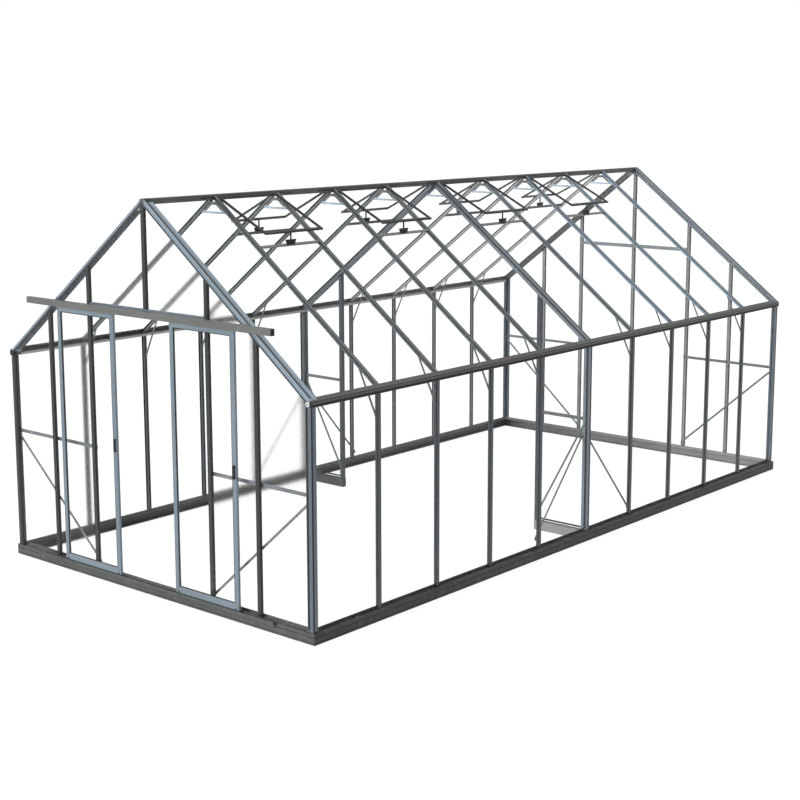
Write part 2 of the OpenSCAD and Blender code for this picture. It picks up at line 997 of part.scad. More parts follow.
module right_door_frame() { color("lightslategray") right_place() door_frame(); }
module left_door_frame() { color("lightslategray") left_place() door_frame(); }
module right_door_handle() { right_place() door_handle(); }
module left_door_handle() { left_place() door_handle(); }
module right_door_pane() { color([0.85, 0.93, 0.97, 0.3]) right_place() door_pane(); }
module left_door_pane() { color([0.85, 0.93, 0.97, 0.3]) left_place() door_pane(); }

// ---------- fixed panes ----------

// Both ends of wall or roof bay i, where bay 0 starts at the front and bay 9 ends at the rear.
function bay_start(i, edge) = i == 0 ? edge - pane_slot + pane_gap : bar_at[i - 1] + half_neck(i - 1);
function bay_end(i, edge) = i == 9 ? house_l - edge + pane_slot - pane_gap : bar_at[i] - half_neck(i);

module wall_panes() {
    edge = gable_in + post_w;
    color([0.85, 0.93, 0.97, 0.3])
        placed()
            both_sides()
                for (i = [0 : 9])
                    block([wall_out - pane_b, bay_start(i, edge), base_h],
                        [wall_out - pane_a, bay_end(i, edge), eave_h]);
}

// Roof panes run from the eave to the ridge, or to the sill in a bay with a vent.
module slope_panes(vents) {
    edge = gable_in + verge_w;
    full = beam_in / cos(pitch);
    short = (beam_in - sill_x) / cos(pitch) - sill_w / 2;
    in_slope(ridge_half, crest)
        for (i = [0 : 9])
            block([-roof_drop - pane_b, bay_start(i, edge), -2 * bar_d],
                [-roof_drop - pane_a, bay_end(i, edge), len(search(i - 1, vents)) > 0 ? short : full]);
}

module roof_panes() {
    color([0.85, 0.93, 0.97, 0.3])
        placed() {
            slope_panes(right_vents);
            mirror([1, 0, 0])
                slope_panes(left_vents);
        }
}

// A pane of the front gable between two distances from the middle, from a height to the roof.
module gable_pane(a, b, from) {
    below_roof(gable_in, stud_back)
        block([a, gable_in + pane_a, from], [b, gable_in + pane_b, roof_top(0)]);
}

module side_gable_panes() {
    n = neck_w / 2 + pane_gap;
    gable_pane(stud_out + n, corner_out - post_w + pane_slot - pane_gap, base_h);
    gable_pane(stud_in + n, stud_out - n, base_h);
}

module front_gable_panes() {
    n = neck_w / 2 + pane_gap;
    color([0.85, 0.93, 0.97, 0.3])
        placed()
            both_sides() {
                side_gable_panes();
                top_gable_pane(head_z + head_h);
            }
}

// The pane beside the middle stud, above the door head or the rear rail.
module top_gable_pane(from) {
    n = neck_w / 2 + pane_gap;
    difference() {
        gable_pane(n, stud_in - n, from);
        block([0, 0, ridge_bottom], [ridge_half, stud_back, roof_top(0)]);
    }
}

module rear_gable_panes() {
    n = neck_w / 2 + pane_gap;
    color([0.85, 0.93, 0.97, 0.3])
        placed()
            on_rear()
                both_sides() {
                    side_gable_panes();
                    block([n, gable_in + pane_a, base_h], [stud_in - n, gable_in + pane_b, rear_rail_z]);
                    top_gable_pane(rear_rail_z + rear_rail_h);
                }
}

base_front();
base_rear();
base_left();
base_right();
door_guide();
corner_posts();
left_wall_bars();
right_wall_bars();
mid_posts();
left_eave_beam();
right_eave_beam();
ridge_beam();
left_roof_bars();
right_roof_bars();
mid_rafters();
front_gable_rafters();
rear_gable_rafters();
front_gable_studs();
rear_gable_studs();
door_head();
rear_gable_rail();
door_track();
track_end_caps();
front_gable_braces();
rear_gable_braces();
wall_braces();
knee_braces();
ridge_ties();
partition_bases();
partition_posts();
partition_braces();
left_vent_frames();
right_vent_frames();
vent_sills();
vent_stays();
left_door_frame();
right_door_frame();
left_door_handle();
right_door_handle();
left_door_pane();
right_door_pane();
wall_panes();
roof_panes();
front_gable_panes();
rear_gable_panes();
vent_panes();
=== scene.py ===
"""Looks of a walk-in polycarbonate greenhouse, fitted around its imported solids.

Lengths are in metres. X runs to the right seen from the doors, Y to the rear gable and Z up.
"""

import math
from functools import reduce

import bpy
import numpy as np
from mathutils import Matrix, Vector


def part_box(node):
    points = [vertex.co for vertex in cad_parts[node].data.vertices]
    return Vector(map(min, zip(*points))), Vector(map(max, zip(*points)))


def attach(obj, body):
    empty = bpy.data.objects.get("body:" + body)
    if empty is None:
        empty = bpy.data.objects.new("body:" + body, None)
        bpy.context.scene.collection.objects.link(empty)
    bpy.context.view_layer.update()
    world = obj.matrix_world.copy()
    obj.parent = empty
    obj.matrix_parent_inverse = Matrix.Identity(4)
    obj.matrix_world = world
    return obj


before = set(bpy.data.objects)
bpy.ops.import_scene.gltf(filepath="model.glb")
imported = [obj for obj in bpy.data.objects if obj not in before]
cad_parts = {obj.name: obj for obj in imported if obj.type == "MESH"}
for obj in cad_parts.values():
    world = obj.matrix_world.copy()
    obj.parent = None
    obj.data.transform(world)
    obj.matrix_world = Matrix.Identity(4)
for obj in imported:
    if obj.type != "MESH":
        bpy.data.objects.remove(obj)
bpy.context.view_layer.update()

bl_info = {
    "name": "Greenhouse Finish",
    "version": (1, 0, 0),
    "blender": (4, 5, 0),
    "location": "View3D > Sidebar > Greenhouse",
    "description": "Finishes, seals, fixings, floor and lights for a polycarbonate greenhouse",
    "category": "Object",
}

MM = 0.001
HAIR = 0.1 * MM             # lift of a strip off the face that it lies on
SHEET_SET = 4 * MM          # how far a sheet's face lies behind the caps beside it
ALONG_X = np.array([1.0, 0.0, 0.0])
ALONG_Y = np.array([0.0, 1.0, 0.0])
UP = np.array([0.0, 0.0, 1.0])


# ---------- sizes read from the solids ----------

def low(node):
    """The corner of a node's box with the smallest coordinates."""
    return np.array(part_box(node)[0])


def high(node):
    """The corner of a node's box with the largest coordinates."""
    return np.array(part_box(node)[1])


def points(node):
    """All corners of a node's mesh as one array."""
    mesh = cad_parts[node].data
    spots = np.empty(len(mesh.vertices) * 3, np.float32)
    mesh.vertices.foreach_get("co", spots)
    return spots.reshape(-1, 3).astype(float)


def spans(node, axis, gap=0.1):
    """Low and high ends, along one axis, of each run of corners with no hole wider than gap."""
    line = np.sort(points(node)[:, axis])
    breaks = np.flatnonzero(np.diff(line) > gap)
    return np.column_stack([line[np.r_[0, breaks + 1]], line[np.r_[breaks, len(line) - 1]]])


def steepness(node):
    """Angle of the upper face between a sloping part's highest corner and its farthest one."""
    spots = points(node)
    spots = spots * [np.sign(spots[:, 0].sum()), 1, 1]
    top = spots[spots[:, 2].argmax()]
    far = spots[spots[:, 0] > spots[:, 0].max() - HAIR]
    end = far[far[:, 2].argmax()]
    return math.atan2(top[2] - end[2], end[0] - top[0])


def upright_depth(node, x):
    """Height of a sloping part's cross-section at its end in the plane x."""
    spots = points(node)
    return np.ptp(spots[np.abs(spots[:, 0] - x) < HAIR][:, 2])


FRONT = low("base_front")[1]                    # outer face of the front base rail
BASE_TOP = high("base_front")[2]
STUD_FACE = low("front_gable_studs")[1]         # outer face of the door gable's studs
STUD_BACK = high("front_gable_studs")[1]
REAR_FACE = high("rear_gable_studs")[1]         # outer face of the rear gable's studs
POST_OUT, POST_REAR = high("corner_posts")[:2]  # outer faces of the right rear corner post
EAVE_IN, EAVE_FRONT, EAVE_LOW = low("right_eave_beam")
EAVE_OUT, EAVE_REAR = high("right_eave_beam")[:2]
RIDGE_HALF, _, RIDGE_TOP = high("ridge_beam")
ROOF_TOP = high("right_roof_bars")[2]           # outer faces of the roof bars at the ridge beam
SLOPE = steepness("right_roof_bars")
LEAN = steepness("right_vent_frames")
VERGE_TOP = high("front_gable_rafters")[2]
VERGE_BACK = high("front_gable_rafters")[1]
REAR_VERGE = high("rear_gable_rafters")[1]      # outer face of the rear gable's rafters
VERGE_DROP = upright_depth("front_gable_rafters", RIDGE_HALF)
BAR_Y = spans("right_wall_bars", 1).mean(1)
BAR_IN = low("right_wall_bars")[0]
CAP_HALF = np.ptp(spans("right_wall_bars", 1)[0]) / 2
STUD_X = spans("front_gable_studs", 0).mean(1)
PANE_OUT = high("wall_panes")[0]


# ---------- meshes ----------

def as_mesh(name, spots, faces):
    """A smooth mesh that keeps sharp edges where its faces turn by more than 0.7 radians."""
    mesh = bpy.data.meshes.new(name)
    mesh.from_pydata(spots.tolist(), [], faces)
    mesh.polygons.foreach_set("use_smooth", np.ones(len(mesh.polygons), bool))
    mesh.set_sharp_from_angle(angle=0.7)
    mesh.update()
    return mesh


def piece(name, surfaces, finish, body="house"):
    """One object from several (corners, faces) surfaces, in one finish and riding on a body."""
    spots, faces, start = [], [], 0
    for corners, rings in surfaces:
        spots.append(corners.reshape(-1, 3))
        faces += [[start + i for i in ring] for ring in rings]
        start += len(spots[-1])
    made = bpy.data.objects.new(name, as_mesh(name, np.concatenate(spots), faces))
    bpy.context.scene.collection.objects.link(made)
    made.data.materials.append(FINISHES[finish])
    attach(made, body)


def shells(copies, rings, around):
    """Faces of many equal shells: quads between neighbouring rings and one lid at each end."""
    start = np.arange(copies)[:, None, None] * rings * around
    ring = np.arange(rings - 1)[None, :, None] * around
    here = np.arange(around)[None, None, :]
    there = (here + 1) % around
    walls = np.stack([start + ring + here, start + ring + there,
                      start + ring + around + there, start + ring + around + here], -1)
    first = np.arange(copies)[:, None] * rings * around
    lids = [(first + here[0, :, ::-1]).tolist(),
            (first + (rings - 1) * around + here[0]).tolist()]
    return walls.reshape(-1, 4).tolist() + lids[0] + lids[1]


def carried(outline, starts, ends, side):
    """Straight strips: each corner is start or end + a * side + b * up, where (a, b) runs round
    the closed outline and up is the strip's direction crossed with its side."""
    starts, ends = np.atleast_2d(starts), np.atleast_2d(ends)
    along = ends - starts
    along = along / np.linalg.norm(along, axis=1, keepdims=True)
    side = np.broadcast_to(np.atleast_2d(side), starts.shape).astype(float)
    side = side - (side * along).sum(1, keepdims=True) * along
    side = side / np.linalg.norm(side, axis=1, keepdims=True)
    up = np.cross(along, side)
    outline = np.asarray(outline)
    turn = np.roll(outline, -1, 0)
    if (outline[:, 0] * turn[:, 1] - outline[:, 1] * turn[:, 0]).sum() < 0:
        outline = outline[::-1]
    flat = (outline[None, :, :1] * side[:, None, :] + outline[None, :, 1:] * up[:, None, :])
    spots = np.stack([starts[:, None, :] + flat, ends[:, None, :] + flat], 1)
    return spots, shells(len(starts), 2, len(outline))


def turned(outline, centres, axis, sides):
    """Round shells: each corner is centre + r * (cos t * u + sin t * v) + h * axis, where (r, h)
    runs up the outline and t goes once round."""
    centres = np.atleast_2d(centres)
    axis = np.broadcast_to(np.atleast_2d(axis), centres.shape).astype(float)
    axis = axis / np.linalg.norm(axis, axis=1, keepdims=True)
    rough = np.where(np.abs(axis[:, 2:]) > 0.9, [[1.0, 0.0, 0.0]], [[0.0, 0.0, 1.0]])
    u = np.cross(rough, axis)
    u = u / np.linalg.norm(u, axis=1, keepdims=True)
    v = np.cross(axis, u)
    t = np.arange(sides) * 2 * math.pi / sides
    rim = (np.cos(t)[None, :, None] * u[:, None, :] + np.sin(t)[None, :, None] * v[:, None, :])
    outline = np.asarray(outline)
    spots = (centres[:, None, None, :]
             + outline[None, :, None, :1] * rim[:, None, :, :]
             + outline[None, :, None, 1:] * axis[:, None, None, :])
    return spots, shells(len(centres), len(outline), sides)


def pillow(width, height, rounding):
    """Closed outline of a rectangle centred on 0 whose corners are quarter circles."""
    turn = np.linspace(0, math.pi / 2, 3)[None, :] + np.arange(4)[:, None] * math.pi / 2
    corner = np.array([[1, 1], [-1, 1], [-1, -1], [1, -1]])
    centre = corner * [width / 2 - rounding, height / 2 - rounding]
    arcs = centre[:, None, :] + rounding * np.stack([np.cos(turn), np.sin(turn)], -1)
    return arcs.reshape(-1, 2)


def bolt(radius, height):
    """Outline of a low domed head."""
    return np.array([[1.0, 0.0], [1.0, 0.35], [0.86, 0.72], [0.55, 0.95], [0.2, 1.0]]) * [
        radius, height]


def nut(radius, height):
    """Outline of a nut or cap screw with a chamfered edge."""
    return np.array([[0.92, 0.0], [1.0, 0.12], [1.0, 0.85], [0.9, 1.0]]) * [radius, height]


def grid(*ranges):
    """Every combination of the given numbers, one row each."""
    return np.stack(np.meshgrid(*[np.atleast_1d(r) for r in ranges], indexing="ij"),
                    -1).reshape(-1, len(ranges)).astype(float)


def beside(x, y, z):
    """Points whose coordinates are three lists, or single numbers, taken side by side."""
    return np.stack(np.broadcast_arrays(x, y, z), -1).astype(float)


def mirrored(spots):
    """The same points on both sides of the house."""
    return np.concatenate([spots, spots * [-1, 1, 1]])


def roof_height(x, top):
    """Height of a sloping face that has the height top at the ridge beam's side."""
    return top - (np.abs(x) - RIDGE_HALF) * math.tan(SLOPE)


# ---------- materials ----------

class Wire:
    """A shader socket that takes part in plain arithmetic."""

    def __init__(self, kit, socket):
        self.kit, self.socket = kit, socket

    def _math(self, operation, *values, clamp=False):
        made = self.kit.add("ShaderNodeMath", {"operation": operation, "use_clamp": clamp},
                            dict(enumerate(values)))
        return Wire(self.kit, made.outputs[0])

    def __add__(self, other):
        return self._math("ADD", self, other)

    def __radd__(self, other):
        return self._math("ADD", other, self)

    def __sub__(self, other):
        return self._math("SUBTRACT", self, other)

    def __rsub__(self, other):
        return self._math("SUBTRACT", other, self)

    def __mul__(self, other):
        return self._math("MULTIPLY", self, other)

    def __rmul__(self, other):
        return self._math("MULTIPLY", other, self)

    def __pow__(self, other):
        return self._math("POWER", self, other)

    def clipped(self):
        return self._math("ADD", self, 0.0, clamp=True)

    def most(self, other):
        return self._math("MAXIMUM", self, other)


class Finish:
    """The shader nodes of a material, or of the world, under construction."""

    def __init__(self, owner):
        owner.use_nodes = True
        self.owner, self.tree = owner, owner.node_tree
        self.tree.nodes.clear()

    def add(self, kind, settings=None, inputs=None):
        """A node of a kind: its settings first, then the values or links of its sockets."""
        made = self.tree.nodes.new(kind)
        for name, value in (settings or {}).items():
            setattr(made, name, value)
        for name, value in (inputs or {}).items():
            socket = made.inputs[name]
            if isinstance(value, Wire):
                self.tree.links.new(value.socket, socket)
            elif socket.type == "RGBA":
                socket.default_value = (*value[:3], 1.0)
            else:
                socket.default_value = value
        return made

    def out(self, kind, settings=None, inputs=None, output=0):
        return Wire(self, self.add(kind, settings, inputs).outputs[output])

    def place(self):
        """Object coordinates."""
        return self.out("ShaderNodeTexCoord", output="Object")

    def upward(self, vector):
        """The vector's Z part."""
        return self.out("ShaderNodeSeparateXYZ", {}, {0: vector}, output="Z")

    def scaled(self, vector, scale):
        """The vector with each part multiplied."""
        return self.out("ShaderNodeVectorMath", {"operation": "MULTIPLY"}, {0: vector, 1: scale})

    def drawn(self, along, stretch):
        """Object coordinates squeezed along one direction, for marks that run along a bar."""
        here = self.place()
        length = self.out("ShaderNodeVectorMath", {"operation": "DOT_PRODUCT"},
                          {0: here, 1: along}, output="Value")
        line = self.out("ShaderNodeVectorMath", {"operation": "SCALE"},
                        {0: along, "Scale": length * (1 - 1 / stretch)})
        return self.out("ShaderNodeVectorMath", {"operation": "SUBTRACT"}, {0: here, 1: line})

    def noise(self, vector, scale, detail=2.0, roughness=0.5):
        return self.out("ShaderNodeTexNoise", {}, {"Vector": vector, "Scale": scale,
                        "Detail": detail, "Roughness": roughness}, output="Fac")

    def ramp(self, value, start, end):
        """0 below start and 1 above end, smoothly."""
        return self.out("ShaderNodeMapRange", {"interpolation_type": "SMOOTHSTEP"},
                        {"Value": value, "From Min": start, "From Max": end})

    def blend(self, amount, first, second):
        """The first colour where the amount is 0, the second where it is 1."""
        made = self.add("ShaderNodeMix", {"data_type": "RGBA"}, {0: amount, 6: first, 7: second})
        return Wire(self, made.outputs[2])

    def rays(self, *kinds):
        """1 on rays of any of these kinds, such as Camera or Glossy, and 0 on all others."""
        path = self.add("ShaderNodeLightPath")
        return reduce(Wire.most, [Wire(self, path.outputs["Is " + kind + " Ray"])
                                  for kind in kinds])

    def bump(self, height, strength, distance):
        return self.out("ShaderNodeBump", {}, {"Height": height, "Strength": strength,
                                               "Distance": distance})

    def done(self, shader, kind="ShaderNodeOutputMaterial"):
        self.add(kind, {}, {"Surface": shader})
        return self.owner


def new_finish(name):
    return Finish(bpy.data.materials.new(name))


DUST = (0.42, 0.40, 0.36)
WHITE = (1.0, 1.0, 1.0)
CAMERA_PLACE = (8.183, FRONT - 6.817, 3.484)
CAMERA_ROLL = math.radians(-0.1)


def coated(name, colour, along, roughness, metallic, dirt, painted_light_drift=None):
    """Powder coat on a drawn bar: orange peel, faint die lines, uneven tone, scuffs that show
    paler metal, and dust that settles on top faces and low down. A painted light drift (colour,
    direction, start, end) turns the colour to another from start to end along its direction:
    painted light and shade, one end of the part lighter or darker than the other."""
    kit = new_finish(name)
    here = kit.place()
    colour = tuple(colour)
    # Painted light and shade: the colour turns lighter or darker along the drift's direction.
    if painted_light_drift:
        other, way, start, end = painted_light_drift
        spot = kit.out("ShaderNodeVectorMath", {"operation": "DOT_PRODUCT"}, {0: here, 1: way},
                       output="Value")
        colour = kit.blend(kit.ramp(spot, start, end), colour, tuple(other))
    lines = kit.noise(kit.drawn(along, 60.0), 420.0, detail=3.0)
    peel = kit.noise(here, 900.0, detail=2.0)
    tone = kit.noise(here, 1.7, detail=3.0)
    patch = kit.noise(here, 14.0, detail=4.0, roughness=0.6)
    facing = kit.upward(kit.out("ShaderNodeNewGeometry", output="Normal"))
    settled = kit.ramp(facing, 0.55, 0.95) * kit.ramp(patch, 0.35, 0.7)
    splashed = (1 - kit.ramp(kit.upward(here), 0.02, 0.45)) * kit.ramp(patch, 0.42, 0.75)
    dust = ((settled * 0.16 + splashed * 0.22) * dirt).clipped()
    scuffs = kit.ramp(kit.noise(kit.drawn(along, 9.0), 95.0, detail=5.0, roughness=0.7), 0.66, 0.74)
    bare = kit.out("ShaderNodeVectorMath", {"operation": "MULTIPLY_ADD"},
                   {0: colour, 1: (1.5, 1.5, 1.5), 2: (0.05, 0.05, 0.05)})
    dark = kit.scaled(colour, (0.84, 0.84, 0.84))
    paint = kit.blend(kit.ramp(tone, 0.3, 0.7), dark, colour)
    paint = kit.blend(kit.ramp(lines, 0.3, 0.8) * 0.10, paint, bare)
    paint = kit.blend(scuffs * 0.22, paint, bare)
    paint = kit.blend(dust, paint, DUST)
    rough = roughness + (lines - 0.5) * 0.14 + (patch - 0.5) * 0.12 + dust * 0.9
    relief = peel * 0.35 + lines * 0.65
    shader = kit.out("ShaderNodeBsdfPrincipled", {}, {
        "Base Color": paint, "Roughness": rough.clipped(), "Metallic": metallic,
        "Specular IOR Level": 0.2 + 0.75 * metallic,
        "Normal": kit.bump(relief, 0.12, 0.0006)})
    return kit.done(shader)


def moulded(name, colour, roughness, grain):
    """Moulded plastic or rubber: a fine spark texture and a slight bloom."""
    kit = new_finish(name)
    here = kit.place()
    spark = kit.noise(here, grain, detail=3.0, roughness=0.6)
    bloom = kit.noise(here, 22.0, detail=4.0, roughness=0.6)
    pale = tuple(part * 1.7 + 0.03 for part in colour)
    tint = kit.blend(kit.ramp(bloom, 0.45, 0.8) * 0.45, colour, pale)
    tint = kit.blend(kit.ramp(spark, 0.55, 0.8) * 0.2, tint, pale)
    rough = roughness + (spark - 0.5) * 0.25 + (bloom - 0.5) * 0.15
    shader = kit.out("ShaderNodeBsdfPrincipled", {}, {
        "Base Color": tint, "Roughness": rough.clipped(), "Specular IOR Level": 0.25,
        "Normal": kit.bump(spark, 0.25, 0.0004)})
    return kit.done(shader)


def plated(name, colour, roughness):
    """Zinc-plated steel of bolts and screws: crystalline patches and uneven wear."""
    kit = new_finish(name)
    here = kit.place()
    cells = kit.out("ShaderNodeTexVoronoi", {}, {"Vector": here, "Scale": 700.0}, output="Distance")
    wear = kit.noise(here, 260.0, detail=3.0)
    dull = tuple(part * 0.62 for part in colour)
    tint = kit.blend(kit.ramp(cells, 0.1, 0.6), colour, dull)
    shader = kit.out("ShaderNodeBsdfPrincipled", {}, {
        "Base Color": tint, "Roughness": (roughness + wear * 0.2).clipped(), "Metallic": 0.85,
        "Normal": kit.bump(wear, 0.15, 0.0003)})
    return kit.done(shader)


def clear_sheet(name, film, warm, haze, blur):
    """Clear sheet: mirror-like at a slant, with a thin uneven film that thickens near the ground,
    wiped streaks, and a blurring core where blur is above zero."""
    kit = new_finish(name)
    here = kit.place()
    streaks = kit.noise(kit.scaled(here, (14.0, 14.0, 1.1)), 1.0, detail=4.0, roughness=0.6)
    specks = kit.ramp(kit.noise(here, 260.0, detail=2.0), 0.70, 0.78)
    rise = kit.upward(here)
    low_haze = (1 - kit.ramp(rise, 0.08, 0.60)) * kit.ramp(streaks, 0.25, 0.75)
    cover = (kit.ramp(streaks, 0.4, 0.8) * 0.3 + low_haze * 4.0 + specks) * haze
    slant = kit.out("ShaderNodeLayerWeight", {}, {"Blend": 0.5}, output="Facing") ** 4.0
    tint = kit.blend((1 - kit.ramp(rise, 0.1, 0.9)), film, warm)
    sheet = kit.out("ShaderNodeBsdfPrincipled", {}, {
        "Base Color": tint, "Roughness": 0.08 + streaks * 0.1, "IOR": 1.45,
        "Normal": kit.bump(kit.noise(kit.scaled(here, (3.0, 3.0, 1.0)), 1.0), 0.1, 0.01)})
    through = kit.out("ShaderNodeBsdfTransparent", {}, {"Color": (0.998, 1.0, 1.0)})
    if blur > 0:
        core = kit.out("ShaderNodeBsdfPrincipled", {}, {
            "Base Color": WHITE, "Roughness": blur, "IOR": 1.1,
            "Transmission Weight": 1.0, "Specular IOR Level": 0.2})
        through = kit.out("ShaderNodeMixShader", {}, {
            0: kit.rays("Shadow", "Diffuse"), 1: core, 2: through})
    body = kit.out("ShaderNodeMixShader", {}, {
        0: (cover + slant * 0.10).clipped(), 1: through, 2: sheet})
    return kit.done(body)


FINISHES = {}


def dress(nodes, name):
    """Gives CAD nodes a finish through their material slots."""
    for node in nodes:
        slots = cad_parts[node].material_slots
        if not slots:
            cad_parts[node].data.materials.append(FINISHES[name])
        for held in slots:
            held.material = FINISHES[name]


# ---------- settings ----------

def colour_setting(name, description, default):
    return bpy.props.FloatVectorProperty(name=name, description=description, default=default,
                                         subtype="COLOR", size=3, min=0.0, max=1.0)


def length_setting(name, description, default):
    return bpy.props.FloatProperty(name=name, description=description, default=default,
                                   unit="LENGTH", min=0.0, precision=4)


class GreenhouseColours(bpy.types.PropertyGroup):
    """Colours of the coats, seals and panels, some of them lighter or darker copies of one coat
    that paint light and shade
    """
    base: colour_setting("Base", "Coat of the base rails", (0.085, 0.088, 0.088))
    # Painted shade: a darker copy of the base coat for the right-hand rail.
    base_right: colour_setting("Right base", "Coat of the right-hand base rail",
                               (0.040, 0.040, 0.038))
    # Painted light: the left rail turns to this lighter copy toward the rear.
    base_left: colour_setting("Left base", "Coat of the left base rail toward the rear",
                              (0.200, 0.201, 0.197))
    # Painted light: the rear and partition bases turn to this lighter copy toward the right.
    base_far_painted_light: colour_setting("Far base", "Coat of the rear base rail's right end",
                             (0.32, 0.33, 0.32))
    bars: colour_setting("Bars", "Coat of the wall bars and partitions", (0.072, 0.079, 0.087))
    # Painted light: the left wall bars turn to this lighter copy toward the rear.
    far_bars_painted_light: colour_setting("Far bars", "Coat of the left wall bars toward the rear",
                             (0.150, 0.154, 0.156))
    studs: colour_setting("Studs", "Coat of the door gable's studs", (0.036, 0.037, 0.038))
    # Painted light: a lighter copy of the studs' coat for the rear gable.
    rear_studs_painted_light: colour_setting("Rear studs", "Coat of the rear gable's studs",
                               (0.29, 0.295, 0.29))
    roof: colour_setting("Roof bars", "Coat of the front roof bars", (0.130, 0.143, 0.151))
    # Painted reflection: the right roof bars turn to this sky-blue toward the rear.
    far_roof_painted_reflection: colour_setting("Far right roof bars", "Coat of the rear right roof bars",
                             (0.28, 0.35, 0.42))
    # Painted light: the left roof bars turn to this paler copy toward the rear.
    far_left_roof_painted_light: colour_setting("Far left roof bars", "Coat of the rear left roof bars",
                                  (0.38, 0.385, 0.38))
    # Painted light and shade: the corner posts turn from a dark copy at the left front to this
    # steel-blue at the right.
    corners: colour_setting("Corners", "Coat of the right corner posts",
                            (0.115, 0.145, 0.172))
    left_corners_painted_shade: colour_setting("Left corners", "Coat of the left front corner post",
                                 (0.040, 0.041, 0.041))
    # Painted light and shade: the middle post and rafter turn from a darker copy on the left to
    # this lighter one on the right.
    middle: colour_setting("Middle frame", "Coat of the right middle post and rafter",
                           (0.20, 0.235, 0.265))
    left_middle_painted_shade: colour_setting("Left middle frame", "Coat of the left middle post and rafter",
                                (0.100, 0.115, 0.125))
    beams: colour_setting("Beams", "Coat of the ridge and right eave beams",
                          (0.088, 0.088, 0.086))
    # Painted light and shade: the left eave beam turns from a darker copy at the front to a lighter
    # one at the rear.
    rear_beams_painted_light: colour_setting("Rear eave", "Coat of the left eave beam's rear end",
                               (0.130, 0.131, 0.130))
    front_beams_painted_shade: colour_setting("Front eave", "Coat of the left eave beam's front end",
                                (0.045, 0.046, 0.046))
    # Painted shade: the base rails turn to this darker copy toward the left front corner.
    base_end_painted_shade: colour_setting("Base corner", "Coat of the base rails at the left front corner",
                             (0.080, 0.082, 0.082))
    track: colour_setting("Track", "Mill finish of the door track", (0.143, 0.146, 0.138))
    head: colour_setting("Head", "Coat of the rail over the doors", (0.19, 0.23, 0.26))
    rail: colour_setting("Rear rail", "Coat of the rear gable's rail", (0.22, 0.245, 0.265))
    braces: colour_setting("Braces", "Coat of the flat braces", (0.16, 0.175, 0.19))
    verges: colour_setting("Verges", "Coat of the front gable rafters", (0.29, 0.36, 0.42))
    # Painted light and shade: the rear gable's rafters turn from a dark copy on the left to this
    # lighter one on the right.
    rear_verges_painted_light: colour_setting("Rear verges", "Coat of the rear gable's right rafter",
                                (0.20, 0.24, 0.27))
    left_verges_painted_shade: colour_setting("Left rear verge", "Coat of the rear gable's left rafter",
                                (0.080, 0.083, 0.085))
    # Painted light and shade: the vent sills are a pale copy on the right and a dark one on the
    # left.
    sills: colour_setting("Sills", "Coat of the sills under the right vents",
                          (0.25, 0.245, 0.235))
    left_sills_painted_shade: colour_setting("Left sills", "Coat of the sills under the left vents",
                               (0.050, 0.052, 0.054))
    # Painted light: the lower bars of the ridge ties get a light blue copy of the ties' grey coat.
    ties: colour_setting("Ties", "Coat of the lower bars of the ridge ties", (0.38, 0.47, 0.55))
    upper_ties: colour_setting("Upper ties", "Coat of the ridge ties over their lower bars",
                               (0.160, 0.165, 0.170))
    # Painted highlight: pale strips low on the inner faces of the eave beams.
    liners: colour_setting("Liners", "Pale strips inside the eaves", (0.42, 0.425, 0.42))
    # Painted shade: dark strips on caps, verges and rafter undersides where they are in shade.
    strips: colour_setting("Strips", "Dark strips on caps and verges",
                           (0.052, 0.062, 0.072))
    doors: colour_setting("Doors", "Coat of the door frames", (0.195, 0.245, 0.29))
    vents: colour_setting("Vents", "Coat of the vent frames", (0.024, 0.024, 0.026))
    plastic: colour_setting("Plastic", "Moulded black parts", (0.012, 0.012, 0.013))
    rubber: colour_setting("Rubber", "Seals beside the panels", (0.016, 0.017, 0.018))
    panel: colour_setting("Panel", "Film on the clear sheet", (0.93, 0.96, 0.97))
    panel_low: colour_setting("Panel foot", "Film near the ground", (0.95, 0.88, 0.80))


class GreenhouseFixings(bpy.types.PropertyGroup):
    """Sizes of seals and fixings"""
    bolt_radius: length_setting("Bolt radius", "Half width of a bolt's head", 0.0055)
    bolt_height: length_setting("Bolt height", "Height of a bolt's head", 0.0034)
    screw_radius: length_setting("Screw radius", "Half width of a small screw's head", 0.0035)
    seal_width: length_setting("Seal width", "Width of a rubber seal beside a cap", 0.0032)
    seal_depth: length_setting("Seal depth", "How far a seal stands off its panel", 0.0022)
    plug_radius: length_setting("Plug radius", "Half width of the plug at a verge's foot", 0.0155)


class GreenhouseStudio(bpy.types.PropertyGroup):
    """Floor, lights and camera"""
    floor: colour_setting("Floor", "Colour of the floor", (0.84, 0.835, 0.825))
    sky: bpy.props.FloatProperty(name="Sky", description="Even light from all round",
                                 default=0.34, min=0.0)
    key: bpy.props.FloatProperty(name="Key", description="Soft lamp in front of the doors",
                                 default=2.6, min=0.0)
    fill: bpy.props.FloatProperty(name="Fill", description="Soft lamp above", default=0.9, min=0.0)
    lens: bpy.props.FloatProperty(name="Lens", description="Focal length on a 36 mm sensor",
                                  default=69.03, min=1.0, subtype="DISTANCE_CAMERA")
    turn: bpy.props.FloatProperty(name="Turn", description="Camera's bearing from the front",
                                  default=math.radians(40.65), subtype="ANGLE")
    rise: bpy.props.FloatProperty(name="Rise", description="Camera's angle above level",
                                  default=math.radians(9.72), subtype="ANGLE")


def colours():
    return bpy.context.scene.greenhouse_colours


def fixings():
    return bpy.context.scene.greenhouse_fixings


def studio():
    return bpy.context.scene.greenhouse_studio


# ---------- operators ----------

